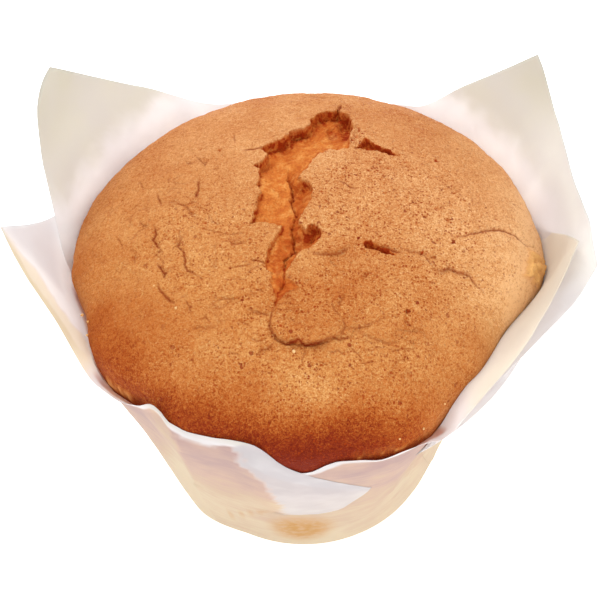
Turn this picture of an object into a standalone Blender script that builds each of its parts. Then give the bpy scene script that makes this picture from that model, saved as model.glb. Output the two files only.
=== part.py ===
"""Domed cupcake baked in a tulip case folded from one square of parchment.

The cake stands on the floor at z = 0 with the axis of the case on the Z axis, and the front, where the case
is lowest, faces -Y. Blender's unit is the metre. The sizes below are millimetres and degrees, azimuth is
measured from +X towards +Y, and MM turns a finished point into metres.

sponge_cake   a flared body with a shallow dome, split along the top, with a curled lip of crust at the
              lower end of the split and a narrow crack branching off its upper end
paper_case    a pressed cup whose slack is taken up by three knife pleats, and whose four corners stand up
              as petals
"""

import math

import bmesh
import bpy
from mathutils import Vector

MM = 0.001

# Cake body
LEAN = 0.8                   # the cake leans towards +X by this much at its widest ring
CAKE_FOOT_RADIUS = 23.7      # radius that the flared side would have at z = 0
FLARE = 0.371                # growth of the radius for each millimetre of height
FLARE_END = 48.0             # above this height the side turns upright
EQUATOR_HEIGHT = 56.0        # height of the widest ring
DOME_RISE = 12.6
DOME_FULLNESS = 2.3          # higher is flatter in the middle
DOME_SHOULDER = 0.55         # lower is rounder at the shoulder
CAKE_BOTTOM = 0.8
CAKE_BOTTOM_CORNER = 3.0     # how far the bottom face stays inside the side

# Places where the case presses the cake in, or lets it bulge where the depth is negative:
# azimuth, depth, half width, height at which it begins, height at which it is full
DENTS = (
    (338.0, 4.5, 21.0, 3.0, 32.0),
    (316.0, 4.6, 26.0, 3.0, 32.0),
    (250.0, 1.3, 13.0, 12.0, 48.0),
    (224.0, 1.6, 14.0, 12.0, 48.0),
    (195.0, 1.7, 14.0, 30.0, 50.0),
    (138.0, 1.1, 36.0, 12.0, 48.0),
    (100.0, 0.9, 40.0, 12.0, 48.0),
    (220.0, -1.6, 26.0, 34.0, 2.0),
)

# The split across the top, from its upper end to its lower end:
# y, left rim x, bottom of the crevice x, right rim x, depth of the crevice
SPLIT = (
    (32.5, 5.2, 6.2, 7.2, 0.3),
    (29.5, 1.6, 6.0, 8.6, 1.4),
    (26.0, -0.8, 4.5, 9.0, 1.8),
    (22.5, -4.4, 2.0, 8.6, 2.2),
    (19.0, -8.2, -0.5, 4.8, 2.8),
    (14.0, -9.4, -2.6, 0.9, 3.8),
    (9.5, -8.6, -3.0, 0.2, 4.8),
    (3.5, -8.8, -2.4, 1.0, 5.2),
    (-0.5, -9.4, -2.0, 0.6, 5.2),
    (-3.5, -5.4, -1.4, 2.6, 5.0),
    (-7.5, -6.8, -1.8, 0.2, 4.6),
    (-12.0, -6.2, -3.2, -2.4, 3.6),
    (-15.5, -5.6, -3.8, -2.6, 2.4),
    (-19.5, -5.0, -4.7, -4.4, 0.3),
)
SPLIT_SHELF = 0.46           # the torn crumb beside the crevice lies at this share of its depth
SPLIT_WALL = 0.25            # share of the way to the crevice over which the rim drops to the shelf
SPLIT_SHELF_END = 0.55       # share of the way at which the shelf drops into the crevice

# The crack that branches off towards the right: x, y, and its width and depth
BRANCH = ((8.2, 21.0), (11.4, 22.6), (13.6, 20.6), (17.6, 18.0))
BRANCH_HALF_WIDTH = 1.3
BRANCH_DEPTH = 1.6

# The curled lip of crust at the lower end of the split
LIP_CENTRE = (1.0, -20.6)
LIP_RADII = (7.0, 5.4)
LIP_HEIGHT = 1.1
LIP_EDGE = 0.22              # share of the lip's radius over which it drops to the crust
LIP_ROOT = (-1.0, 0.4)       # shares of its radius between which it rises from the crust above it

# Low swellings of the crust, which fade out at the shoulder: x, y, radius, height
SWELLINGS = (
    (-22.0, 6.0, 9.0, 0.5),
    (-24.0, -12.0, 10.0, 0.4),
    (5.0, -7.0, 6.0, 0.5),
    (20.0, -8.0, 9.0, 0.5),
    (33.0, 0.0, 7.0, 0.45),
    (14.0, 8.0, 12.0, 0.4),
    (-2.0, -34.0, 10.0, 0.3),
)

SHOULDER = (0.8, 1.0)        # shares of the dome's radius

# Mesh of the cake
TOP_CELLS = 30
TOP_CROWDING = 0.45          # 0 spaces the top's cells evenly, more draws them out towards the widest ring
SPLIT_MARGIN = 1.2           # cells this close to the split are divided further
SPLIT_CUTS = 2
CAKE_RINGS = (53.0, 49.0, 40.0, 28.0, 15.0, 3.0)

# Case
CASE_THICKNESS = 0.4
CASE_CLEARANCE = 0.4         # between the cake and the nearest layer of paper
CASE_BASE_RINGS = (0.0, 10.0, 18.0, 22.9)
CASE_WALL_ROWS = (0.05, 0.16, 0.30, 0.44, 0.58, 0.72, 0.86, 1.0)
CASE_RIM_ROWS = (0.33, 0.67, 1.0)
CASE_FOOT_TURN = 1.0         # height at which the layers of a pleat start to part
WELD = 0.01
HOLD_HEIGHT = 50.0           # the paper follows the cake up to here
HOLD_BELOW_RIM = 2.5         # or up to this far below its edge, where the edge is lower
COLUMN_SPACING = 5.5         # degrees

# Pleats. Each has an inner, a middle and an outer layer, and the lifts say how far they stand off.
LAYER_MIDDLE = (0.8, 1.2)
TURN_SWELL = 0.55            # degrees by which a fold bulges past its layers
TURN_STEPS = 4
PLEAT_GROWTH = 0.6           # power of the height with which a pleat opens
SIDE_PLEAT = (8.0, 50.0)     # heights between which the side pleats open
FRONT_PLEAT = (22.0, 36.0)   # heights between which the front pleat opens

# The edge of the paper between the pleats, one line per station:
# azimuth, radius, height, lift of the layer, and how much the front pleat sets the heights between which
# the layer turns towards its fold
BACK_EDGE = (
    (-60.0, 41.8, 46.0, 2.0, 0.0),     # lower end of the right pleat's outer fold
    (-49.0, 41.4, 50.5, 2.0, 0.0),
    (-35.0, 42.3, 54.5, 2.0, 0.0),
    (-24.0, 45.6, 58.5, 2.0, 0.0),
    (-16.0, 49.6, 62.5, 2.0, 0.0),
    (-12.5, 52.6, 70.0, 2.0, 0.0),     # rounded outer corner
    (-6.0, 50.8, 71.5, 2.0, 0.0),
    (9.0, 49.4, 69.5, 2.0, 0.0),
    (24.5, 50.3, 73.0, 1.5, 0.0),
    (35.8, 52.6, 79.7, 1.0, 0.0),      # tip of the back right petal
    (49.5, 48.3, 66.2, 0.6, 0.0),
    (62.0, 45.0, 56.7, 0.3, 0.0),
    (90.0, 44.6, 53.0, 0.0, 0.0),
    (110.0, 44.6, 55.0, 0.0, 0.0),
    (131.0, 47.3, 66.0, 0.0, 0.0),
    (151.0, 52.6, 81.5, 0.0, 0.0),     # tip of the back left petal
    (158.0, 51.6, 79.5, 0.0, 0.0),
    (166.0, 48.6, 70.5, 0.0, 0.0),
    (171.0, 46.2, 61.0, 0.0, 0.0),
    (179.5, 44.2, 52.8, 0.0, 0.0),     # inner fold of the left pleat
)
LEFT_EDGE = (
    (145.0, 45.8, 51.0, 2.0, 0.0),     # outer fold of the left pleat
    (158.0, 46.2, 54.0, 2.0, 0.0),
    (169.0, 47.4, 59.0, 2.0, 0.0),
    (180.0, 49.2, 67.5, 2.0, 0.0),
    (194.0, 53.4, 81.5, 1.3, 0.0),     # tip of the left petal
    (199.5, 50.3, 72.0, 1.2, 0.0),
    (204.0, 46.6, 61.3, 1.0, 0.0),
    (213.0, 44.0, 51.8, 0.6, 0.2),
    (220.0, 43.0, 52.0, 0.4, 0.4),
    (230.0, 42.6, 57.8, 0.2, 0.7),
    (236.5, 43.0, 56.0, 0.3, 1.0),
    (244.5, 43.6, 57.3, 0.9, 1.0),
    (252.5, 44.2, 60.2, 1.9, 1.0),
    (260.0, 44.8, 57.0, 2.0, 1.0),
    (266.0, 44.8, 54.0, 2.0, 1.0),
    (271.0, 44.6, 51.0, 2.0, 1.0),
    (276.5, 43.9, 47.5, 2.0, 1.0),
    (282.5, 42.6, 43.0, 2.0, 1.0),
    (288.0, 40.6, 38.0, 2.0, 1.0),     # point of the flap, the outer fold of the front pleat
)
FRONT_EDGE = (
    (255.0, 43.6, 53.0, 0.0, 1.0),     # inner fold of the front pleat
    (269.0, 43.8, 54.0, 0.0, 1.0),
    (280.0, 43.5, 54.5, 0.0, 1.0),
    (291.0, 43.3, 53.3, 0.0, 0.7),
    (299.0, 42.8, 52.2, 0.0, 0.4),
    (304.5, 42.6, 51.8, 0.0, 0.2),
    (311.0, 42.6, 54.0, 0.0, 0.0),
    (318.0, 43.0, 57.0, 0.0, 0.0),
    (335.5, 44.6, 61.0, 0.0, 0.0),
    (343.5, 45.9, 63.5, 0.0, 0.0),
    (347.0, 47.4, 68.0, 0.0, 0.0),
    (350.0, 48.7, 73.0, 0.0, 0.0),     # tip of the right petal
    (360.0, 46.8, 65.0, 0.0, 0.0),
    (368.0, 45.2, 58.5, 0.0, 0.0),
    (372.0, 44.8, 56.0, 0.0, 0.0),     # inner fold of the right pleat
)

# Azimuths between which each stretch starts at the foot of the case, with the pleats in between
BACK_FOOT = (-16.0, 161.0)
LEFT_FOOT = (169.0, 258.0)
FRONT_FOOT = (266.0, 336.0)

CRUST_COLOUR = (0.62, 0.27, 0.09, 1.0)
PARCHMENT_COLOUR = (0.86, 0.81, 0.72, 1.0)
CRUST_ROUGHNESS = 0.7
PARCHMENT_ROUGHNESS = 0.55
SHARP_ANGLE = 40.0


def mix(low, high, share):
    """Go from low to high as share goes from 0 to 1."""
    return low + (high - low) * share


def smooth_step(low, high, value):
    """Rise smoothly from 0 at low to 1 at high."""
    share = min(1.0, max(0.0, (value - low) / (high - low)))
    return share * share * (3.0 - 2.0 * share)


def follow(stations, value):
    """Read a table sorted by its first column, with straight lines between its rows."""
    if value <= stations[0][0]:
        return stations[0][1:]
    for first, second in zip(stations, stations[1:]):
        if value <= second[0]:
            share = (value - first[0]) / (second[0] - first[0])
            return tuple(mix(a, b, share) for a, b in zip(first[1:], second[1:]))
    return stations[-1][1:]


def dent_depth(azimuth, height):
    """How far the case presses the cake's side in at a place."""
    depth = 0.0
    for centre, deepest, half_width, start, full in DENTS:
        turn = (azimuth - centre + 180.0) % 360.0 - 180.0
        depth += deepest * (1.0 - smooth_step(0.0, half_width, abs(turn))) * smooth_step(start, full, height)
    return depth


def middle_x(height):
    """X of the cake's middle at a height."""
    return LEAN * min(height, EQUATOR_HEIGHT) / EQUATOR_HEIGHT


def on_ring(azimuth, radius, height):
    """Point at an azimuth and a radius from the cake's middle at a height."""
    angle = math.radians(azimuth)
    return Vector((middle_x(height) + radius * math.cos(angle), radius * math.sin(angle), height))


def side_radius(azimuth, height):
    """Radius of the cake's side, a cone that turns upright below the widest ring."""
    above = max(0.0, min(height, EQUATOR_HEIGHT) - FLARE_END)
    turning = above - above * above / (2.0 * (EQUATOR_HEIGHT - FLARE_END))
    radius = CAKE_FOOT_RADIUS + FLARE * (min(height, FLARE_END) + turning)
    return radius - dent_depth(azimuth, height)


def dome_height(reach):
    """Height of the plain dome at a share of the way from its middle to the widest ring."""
    return EQUATOR_HEIGHT + DOME_RISE * (1.0 - min(1.0, reach) ** DOME_FULLNESS) ** DOME_SHOULDER


def split_depth(x, y):
    """Depth of the split below the crust: a steep rim, a shelf of torn crumb and a crevice."""
    top, bottom = SPLIT[0][0], SPLIT[-1][0]
    if not bottom < y < top:
        return 0.0
    left, crevice, right, depth = follow(tuple(sorted(SPLIT)), y)
    if not left < x < right:
        return 0.0
    inside = (x - left) / (crevice - left) if x < crevice else (right - x) / (right - crevice)
    shelf = SPLIT_SHELF * smooth_step(0.0, SPLIT_WALL, inside)
    return depth * (shelf + (1.0 - SPLIT_SHELF) * smooth_step(SPLIT_SHELF_END, 1.0, inside))


def branch_depth(x, y):
    """Depth of the narrow crack, a groove along a bent line."""
    nearest = BRANCH_HALF_WIDTH
    for (ax, ay), (bx, by) in zip(BRANCH, BRANCH[1:]):
        along = ((x - ax) * (bx - ax) + (y - ay) * (by - ay)) / ((bx - ax) ** 2 + (by - ay) ** 2)
        along = min(1.0, max(0.0, along))
        nearest = min(nearest, math.hypot(x - mix(ax, bx, along), y - mix(ay, by, along)))
    return BRANCH_DEPTH * (1.0 - smooth_step(0.0, BRANCH_HALF_WIDTH, nearest))


def lip_height(x, y):
    """Height of the curled lip, steep on its lower side and running into the crust above."""
    across = (x - LIP_CENTRE[0]) / LIP_RADII[0]
    down = (LIP_CENTRE[1] - y) / LIP_RADII[1]
    reach = math.hypot(across, down)
    edge = 1.0 - smooth_step(1.0 - LIP_EDGE, 1.0, reach)
    return LIP_HEIGHT * edge * smooth_step(*LIP_ROOT, down)


def swelling_height(x, y):
    """Height of the low swellings of the crust."""
    height = 0.0
    for centre_x, centre_y, radius, rise in SWELLINGS:
        height += rise * (1.0 - smooth_step(0.0, radius, math.hypot(x - centre_x, y - centre_y)))
    return height


def to_disc(a, b):
    """Turn a point of the square from -1 to 1 into an azimuth and a share of the disc's radius."""
    if a == 0.0 and b == 0.0:
        return 0.0, 0.0
    if abs(a) >= abs(b):
        reach, azimuth = abs(a), 45.0 * b / a + (180.0 if a < 0.0 else 0.0)
    else:
        reach, azimuth = abs(b), 90.0 - 45.0 * a / b + (180.0 if b < 0.0 else 0.0)
    return azimuth, mix(reach, math.sin(reach * math.pi / 2.0), TOP_CROWDING)


def place_on_top(vert):
    """Move a vertex of the flat square to its plan position on the cake's top."""
    azimuth, reach = to_disc(vert.co.x, vert.co.y)
    radius = reach * side_radius(azimuth, EQUATOR_HEIGHT)
    x = LEAN + radius * math.cos(math.radians(azimuth))
    y = radius * math.sin(math.radians(azimuth))
    vert.co = Vector((x, y, 0.0))


def near_split(x, y):
    """Whether a plan position is close enough to the split, the branch or the lip to need finer faces."""
    left, _crevice, right, _depth = follow(tuple(sorted(SPLIT)), y)
    in_span = SPLIT[-1][0] - SPLIT_MARGIN < y < SPLIT[0][0] + SPLIT_MARGIN
    by_split = in_span and left - SPLIT_MARGIN < x < right + SPLIT_MARGIN
    return by_split or branch_depth(x, y) > 0.0 or lip_height(x, y) > 0.0


def raise_top(vert):
    """Lift a vertex from its plan position to the cake's surface."""
    x, y = vert.co.x, vert.co.y
    azimuth = math.degrees(math.atan2(y, x - LEAN))
    reach = math.hypot(x - LEAN, y) / side_radius(azimuth, EQUATOR_HEIGHT)
    relief = lip_height(x, y) - split_depth(x, y) - branch_depth(x, y)
    relief += swelling_height(x, y) * (1.0 - smooth_step(*SHOULDER, reach))
    vert.co.z = dome_height(reach) + relief


def rim_edges(bm):
    """The open edges of a mesh, which form one ring."""
    return [edge for edge in bm.edges if edge.is_boundary]


def build_cake():
    """Model the cake as a raised square grid closed by rings that run down its side."""
    bm = bmesh.new()
    bmesh.ops.create_grid(bm, x_segments=TOP_CELLS, y_segments=TOP_CELLS, size=1.0)
    for vert in bm.verts:
        place_on_top(vert)
    fine = [edge for edge in bm.edges if all(near_split(v.co.x, v.co.y) for v in edge.verts)]
    bmesh.ops.subdivide_edges(bm, edges=fine, cuts=SPLIT_CUTS, use_grid_fill=True)
    for vert in bm.verts:
        raise_top(vert)
    foot_ring = (CAKE_BOTTOM, CAKE_BOTTOM_CORNER)
    for height, inset in [(ring, 0.0) for ring in CAKE_RINGS] + [foot_ring]:
        ring = bmesh.ops.extrude_edge_only(bm, edges=rim_edges(bm))["geom"]
        for vert in (item for item in ring if isinstance(item, bmesh.types.BMVert)):
            azimuth = math.degrees(math.atan2(vert.co.y, vert.co.x - middle_x(vert.co.z)))
            vert.co = on_ring(azimuth, side_radius(azimuth, height) - inset, height)
    bmesh.ops.contextual_create(bm, geom=rim_edges(bm))
    bmesh.ops.triangulate(bm, faces=bm.faces[:])
    bmesh.ops.recalc_face_normals(bm, faces=bm.faces[:])
    bmesh.ops.scale(bm, vec=(MM, MM, MM), verts=bm.verts[:])
    return bm


class Column:
    """One line up the case, from the middle of its base to its edge."""

    def __init__(self, azimuth, foot, radius, height, lift, front):
        self.azimuth = azimuth
        self.foot = foot
        self.radius = radius
        self.height = height
        self.lift = lift
        self.front = front
        self.pleat = tuple(mix(side, face, front) for side, face in zip(SIDE_PLEAT, FRONT_PLEAT))

    def turned(self, height):
        """Azimuth of the column at a height, between that of its foot and that of its edge."""
        start, end = self.pleat
        opened = min(1.0, max(0.0, (height - start) / (end - start))) ** PLEAT_GROWTH
        return mix(self.foot, self.azimuth, opened)

    def wall_radius(self, azimuth, height):
        """Least distance from the cake's middle at which the column clears the cake and lower layers."""
        lift = self.lift * smooth_step(CASE_FOOT_TURN, self.pleat[0], height)
        return side_radius(azimuth, height) + CASE_CLEARANCE + CASE_THICKNESS / 2.0 + lift

    def on_wall(self, height):
        """Point where the column follows the cake."""
        azimuth = self.turned(height)
        return on_ring(azimuth, self.wall_radius(azimuth, height), height)

    def above_wall(self, start, share):
        """Point a share of the way from the top of the wall to the paper's edge."""
        angle = math.radians(self.azimuth)
        edge = Vector((self.radius * math.cos(angle), self.radius * math.sin(angle), self.height))
        point = start.lerp(edge, share)
        away = Vector((point.x - middle_x(point.z), point.y))
        azimuth = math.degrees(math.atan2(away.y, away.x))
        nearest = self.wall_radius(azimuth, min(point.z, EQUATOR_HEIGHT))
        return on_ring(azimuth, max(away.length, nearest), point.z)

    def points(self):
        """The column's points in order, from the middle of the base outwards and up."""
        base = CASE_THICKNESS / 2.0
        hold = min(HOLD_HEIGHT, self.height - HOLD_BELOW_RIM)
        points = [on_ring(self.foot, radius, base) for radius in CASE_BASE_RINGS]
        points += [self.on_wall(hold * share) for share in CASE_WALL_ROWS]
        top = points[-1]
        return points + [self.above_wall(top, share) for share in CASE_RIM_ROWS]


def stretch_columns(edge, foot):
    """Columns between two pleats, on every station of the edge and evenly between them."""
    columns = []
    first_azimuth, last_azimuth = edge[0][0], edge[-1][0]
    azimuths = [first_azimuth]
    for start, end in zip(edge, edge[1:]):
        steps = max(1, round((end[0] - start[0]) / COLUMN_SPACING))
        azimuths += [mix(start[0], end[0], (k + 1) / steps) for k in range(steps)]
    for azimuth in azimuths:
        share = (azimuth - first_azimuth) / (last_azimuth - first_azimuth)
        columns.append(Column(azimuth, mix(*foot, share), *follow(edge, azimuth)))
    return columns


def fold_path(azimuth, low, high, side):
    """Azimuths and lifts round a fold, which bulges to one side while the lift goes from low to high."""
    path = []
    for step in range(TURN_STEPS + 1):
        angle = math.pi * step / TURN_STEPS
        lift = mix(low, high, (1.0 - math.cos(angle)) / 2.0)
        path.append((azimuth + side * TURN_SWELL * math.sin(angle), lift))
    return path


def pleat_path(azimuth, lift, end_azimuth, end_lift):
    """Azimuths and lifts through a pleat: a fold, the middle layer running back, and a second fold."""
    near, far = LAYER_MIDDLE if lift < end_lift else reversed(LAYER_MIDDLE)
    steps = max(2, round((azimuth - end_azimuth) / COLUMN_SPACING))
    shares = [step / steps for step in range(1, steps)]
    middle = [(mix(azimuth, end_azimuth, share), mix(near, far, share)) for share in shares]
    first = fold_path(azimuth, lift, near, 1.0)[1:]
    last = fold_path(end_azimuth, far, end_lift, -1.0)[:-1]
    return first + middle + last


def pleat_columns(before, after, wrap):
    """Columns of the pleat between two stretches, where wrap is a full turn if it closes the ring."""
    end_azimuth = after.azimuth + wrap
    path = pleat_path(before.azimuth, before.lift, end_azimuth, after.lift)
    columns = []
    for number, (azimuth, lift) in enumerate(path, start=1):
        share = (before.azimuth - azimuth) / (before.azimuth - end_azimuth)
        share = min(1.0, max(0.0, share))
        radius = mix(before.radius, after.radius, share)
        height = mix(before.height, after.height, share)
        foot = mix(before.foot, after.foot + wrap, number / (len(path) + 1))
        columns.append(Column(azimuth, foot, radius, height, lift, before.front))
    return columns


def case_columns():
    """All columns of the case, once round."""
    back = stretch_columns(BACK_EDGE, BACK_FOOT)
    left = stretch_columns(LEFT_EDGE, LEFT_FOOT)
    front = stretch_columns(FRONT_EDGE, FRONT_FOOT)
    columns = back + pleat_columns(back[-1], left[0], 0.0)
    columns += left + pleat_columns(left[-1], front[0], 0.0)
    columns += front + pleat_columns(front[-1], back[0], 360.0)
    return columns


def build_case():
    """Model the case as one sheet, a grid of columns and rows bent round the cake."""
    columns = case_columns()
    grid = [column.points() for column in columns]
    rows = len(grid[0]) - 1
    bm = bmesh.new()
    bmesh.ops.create_grid(bm, x_segments=len(columns), y_segments=rows, size=1.0)
    bm.verts.ensure_lookup_table()
    width = len(columns) + 1
    for number, vert in enumerate(bm.verts):
        row, column = divmod(number, width)
        vert.co = grid[column % len(columns)][row] * MM
    bmesh.ops.remove_doubles(bm, verts=bm.verts[:], dist=WELD * MM)
    bmesh.ops.triangulate(bm, faces=bm.faces[:])
    bmesh.ops.recalc_face_normals(bm, faces=bm.faces[:])
    return bm


def make_material(name, colour, roughness):
    """A plain material for one piece."""
    material = bpy.data.materials.new(name)
    material.use_nodes = True
    shader = material.node_tree.nodes["Principled BSDF"]
    shader.inputs["Base Color"].default_value = colour
    shader.inputs["Roughness"].default_value = roughness
    shader.inputs["Metallic"].default_value = 0.0
    return material


def add_piece(bm, name, material, collection):
    """Put a finished mesh in the scene as a named piece, shaded smooth."""
    mesh = bpy.data.meshes.new(name)
    bm.to_mesh(mesh)
    bm.free()
    mesh.shade_smooth()
    mesh.set_sharp_from_angle(angle=math.radians(SHARP_ANGLE))
    mesh.materials.append(material)
    piece = bpy.data.objects.new(name, mesh)
    collection.objects.link(piece)
    return piece


def main():
    """Clear the scene and build the cupcake."""
    for old in list(bpy.data.objects):
        bpy.data.objects.remove(old)
    collection = bpy.data.collections.new("cupcake")
    bpy.context.scene.collection.children.link(collection)
    crust = make_material("baked_sponge", CRUST_COLOUR, CRUST_ROUGHNESS)
    parchment = make_material("parchment", PARCHMENT_COLOUR, PARCHMENT_ROUGHNESS)
    add_piece(build_cake(), "sponge_cake", crust, collection)
    case = add_piece(build_case(), "paper_case", parchment, collection)
    wall = case.modifiers.new("paper thickness", "SOLIDIFY")
    wall.thickness = CASE_THICKNESS * MM
    wall.offset = 0.0
    wall.use_even_offset = False


main()
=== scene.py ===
"""Looks of a split, domed cupcake in a tulip case of folded parchment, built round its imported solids.

Sizes are millimetres and degrees, azimuth is measured from +X towards +Y, and MM turns a finished point into
metres. Two pieces stand for the two solids: the cake with its fine crust, and the parchment at its own
thinness. The loose crumbs are a piece of their own.
"""

from __future__ import annotations

import logging
import math
from dataclasses import dataclass
from enum import Enum
from itertools import product
from typing import Any, Sequence

import bmesh
import bpy
import numpy as np
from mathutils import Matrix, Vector

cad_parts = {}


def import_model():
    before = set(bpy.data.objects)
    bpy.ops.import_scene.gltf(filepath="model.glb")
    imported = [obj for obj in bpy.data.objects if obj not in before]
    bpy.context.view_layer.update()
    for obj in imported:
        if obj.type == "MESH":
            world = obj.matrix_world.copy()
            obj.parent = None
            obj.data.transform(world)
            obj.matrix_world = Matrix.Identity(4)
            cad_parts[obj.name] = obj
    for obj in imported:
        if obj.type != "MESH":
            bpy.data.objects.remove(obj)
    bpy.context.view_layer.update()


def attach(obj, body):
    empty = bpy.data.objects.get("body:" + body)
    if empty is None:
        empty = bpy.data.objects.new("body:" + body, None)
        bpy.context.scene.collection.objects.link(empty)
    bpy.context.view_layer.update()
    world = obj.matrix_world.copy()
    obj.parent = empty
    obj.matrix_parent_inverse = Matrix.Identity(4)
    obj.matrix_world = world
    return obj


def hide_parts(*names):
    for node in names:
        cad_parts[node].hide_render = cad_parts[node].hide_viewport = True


MM = 0.001
BODY = "root"
# Vertex fields that draw painted shade in the bottoms of creases and wrinkles, finer than the mesh
CREASE_FIELD = "crease"
WRINKLE_FIELD = "wrinkle"
LOG = logging.getLogger("cupcake")

Colour = tuple[float, float, float, float]
Path = tuple[tuple[float, float], ...]
Stops = tuple[tuple[float, Any], ...]
Masks = dict["Mask", np.ndarray]


class Mask(Enum):
    """Vertex masks that the finishes read, by the name of their attribute."""

    TORN = "torn"
    SCORCH_AND_SHADE = "scorch_and_shade"
    BROWNING = "browning"
    PORES = "pores"
    PALE = "pale"
    GREASE = "grease"
    WARM = "warm"
    CREAM = "cream"
    PAINTED_SHADE = "painted_shade"


class Slot(Enum):
    """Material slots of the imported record."""

    SPONGE = "baked_sponge"
    PARCHMENT = "parchment"


# ----------------------------------------
# Numbers, noise and paths


def srgb(code: str) -> Colour:
    """Turn an sRGB hex colour into Blender's linear colour.

    Args:
        code: The colour as "#RRGGBB".

    Returns:
        Linear red, green, blue and an alpha of 1.
    """
    channels = [int(code[place : place + 2], 16) / 255.0 for place in (1, 3, 5)]
    linear = [c / 12.92 if c <= 0.04045 else ((c + 0.055) / 1.055) ** 2.4 for c in channels]
    return (linear[0], linear[1], linear[2], 1.0)


def mix(low: Any, high: Any, share: Any) -> Any:
    """Go from low to high as share goes from 0 to 1."""
    return low + (high - low) * share


def smooth(low: Any, high: Any, value: Any) -> Any:
    """Rise smoothly from 0 at low to 1 at high, or fall where low is the larger."""
    share = np.clip((value - low) / (high - low), 0.0, 1.0)
    return share * share * (3.0 - 2.0 * share)


def read_off(table: Path, place: Any) -> Any:
    """Read a table of places and values, straight between its rows."""
    return np.interp(place, *zip(*table))


def turn_from(azimuth: Any, centre: float) -> Any:
    """How many degrees an azimuth lies from another, either way."""
    return np.abs((azimuth - centre + 180.0) % 360.0 - 180.0)


@dataclass(frozen=True)
class Patch:
    """A soft oval patch: how strong it is, its middle and its half widths."""

    strength: float
    centre: tuple[float, float]
    radii: tuple[float, float]

    def at(self, x: np.ndarray, y: np.ndarray) -> np.ndarray:
        """The patch at points, full in its middle and 0 past its half widths."""
        reach = np.hypot((x - self.centre[0]) / self.radii[0], (y - self.centre[1]) / self.radii[1])
        return self.strength * smooth(1.0, 0.35, reach)


@dataclass(frozen=True)
class Near:
    """How points lie to a line: their distance, the share of its length, and the way from the line to them."""

    gap: np.ndarray
    along: np.ndarray
    away_x: np.ndarray
    away_y: np.ndarray


def along_path(path: Path, x: np.ndarray, y: np.ndarray) -> Near:
    """Measure how points lie to a bent line.

    Args:
        path: Corners of the line.
        x: First coordinate of each point.
        y: Second coordinate of each point.

    Returns:
        Where each point lies to the nearest place of the line.
    """
    lengths = [math.dist(a, b) for a, b in zip(path, path[1:])]
    nearest = np.full((4, *x.shape), np.inf)
    done = 0.0
    for (ax, ay), (bx, by), length in zip(path, path[1:], lengths):
        along = np.clip(((x - ax) * (bx - ax) + (y - ay) * (by - ay)) / length**2, 0.0, 1.0)
        dx, dy = x - mix(ax, bx, along), y - mix(ay, by, along)
        here = np.stack([np.hypot(dx, dy), (done + along * length) / sum(lengths), dx, dy])
        nearest = np.where(here[0] < nearest[0], here, nearest)
        done += length
    return Near(*nearest)


def inside(outline: Path, x: np.ndarray, y: np.ndarray) -> np.ndarray:
    """Tell which points lie inside a closed outline.

    Args:
        outline: Corners of the outline.
        x: First coordinate of each point.
        y: Second coordinate of each point.

    Returns:
        True for each point inside.
    """
    within = np.zeros(x.shape, bool)
    for (ax, ay), (bx, by) in zip(outline, outline[1:] + outline[:1]):
        if ay != by:
            crosses = (ay > y) != (by > y)
            within ^= crosses & (x < ax + (y - ay) * (bx - ax) / (by - ay))
    return within


def rim_gap(outline: Path, x: np.ndarray, y: np.ndarray) -> np.ndarray:
    """Distance of points to a closed outline."""
    return along_path(outline + outline[:1], x, y).gap


class Noise:
    """Smooth seeded noise in space, from about -1 to 1.

    Waves that must not look alike are read at points moved by a number of their own.
    """

    SIZE = 256

    def __init__(self, seed: int) -> None:
        """Draw the slopes of the noise.

        Args:
            seed: Seed of the draw.
        """
        rng = np.random.default_rng(seed)
        self.order = rng.permutation(self.SIZE)
        slopes = rng.normal(size=(self.SIZE, 3))
        self.slopes = slopes / np.linalg.norm(slopes, axis=1)[:, None]

    def at(self, points: np.ndarray, size: Any, layers: int = 1) -> np.ndarray:
        """Read the noise at points.

        Args:
            points: One row of three coordinates for each point.
            size: Width of the waves, one number or one for each axis.
            layers: How many times waves of half the width and height are added.

        Returns:
            The noise at each point.
        """
        total = np.zeros(len(points))
        for layer in range(layers):
            spots = points / size * 2.0**layer + 17.3 * layer
            cell = np.floor(spots).astype(int)
            part = spots - cell
            ease = part**3 * (part * (part * 6.0 - 15.0) + 10.0)
            for corner in product((0, 1), repeat=3):
                key = np.zeros(len(points), int)
                for axis in range(3):
                    key = self.order[(key + cell[:, axis] + corner[axis]) % self.SIZE]
                weight = np.prod([ease[:, k] if corner[k] else 1.0 - ease[:, k] for k in range(3)], axis=0)
                total += np.einsum("ij,ij->i", self.slopes[key], part - corner) * weight * 1.6 / 2.0**layer
        return total


# ----------------------------------------
# Meshes and materials


def finished_mesh(bm: bmesh.types.BMesh, name: str) -> bpy.types.Mesh:
    """Turn a bmesh into a mesh, and free it.

    Args:
        bm: The bmesh.
        name: Name of the mesh.

    Returns:
        The mesh.
    """
    mesh = bpy.data.meshes.new(name)
    bm.to_mesh(mesh)
    bm.free()
    return mesh


def add_object(name: str, data: bpy.types.ID) -> bpy.types.Object:
    """Put a mesh, a light or a camera in the scene.

    Args:
        name: Name of the object.
        data: What it shows.

    Returns:
        The object.
    """
    added = bpy.data.objects.new(name, data)
    bpy.context.scene.collection.objects.link(added)
    return added


def make_piece(name: str, mesh: bpy.types.Mesh, material: bpy.types.Material) -> bpy.types.Object:
    """Put a finished mesh in the scene as a piece that rides on the object.

    Args:
        name: Name of the piece.
        mesh: Its mesh, in place and in metres.
        material: Its finish.

    Returns:
        The piece.
    """
    mesh.name = name
    mesh.shade_smooth()
    mesh.materials.append(material)
    piece = add_object(name, mesh)
    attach(piece, BODY)
    return piece


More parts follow.
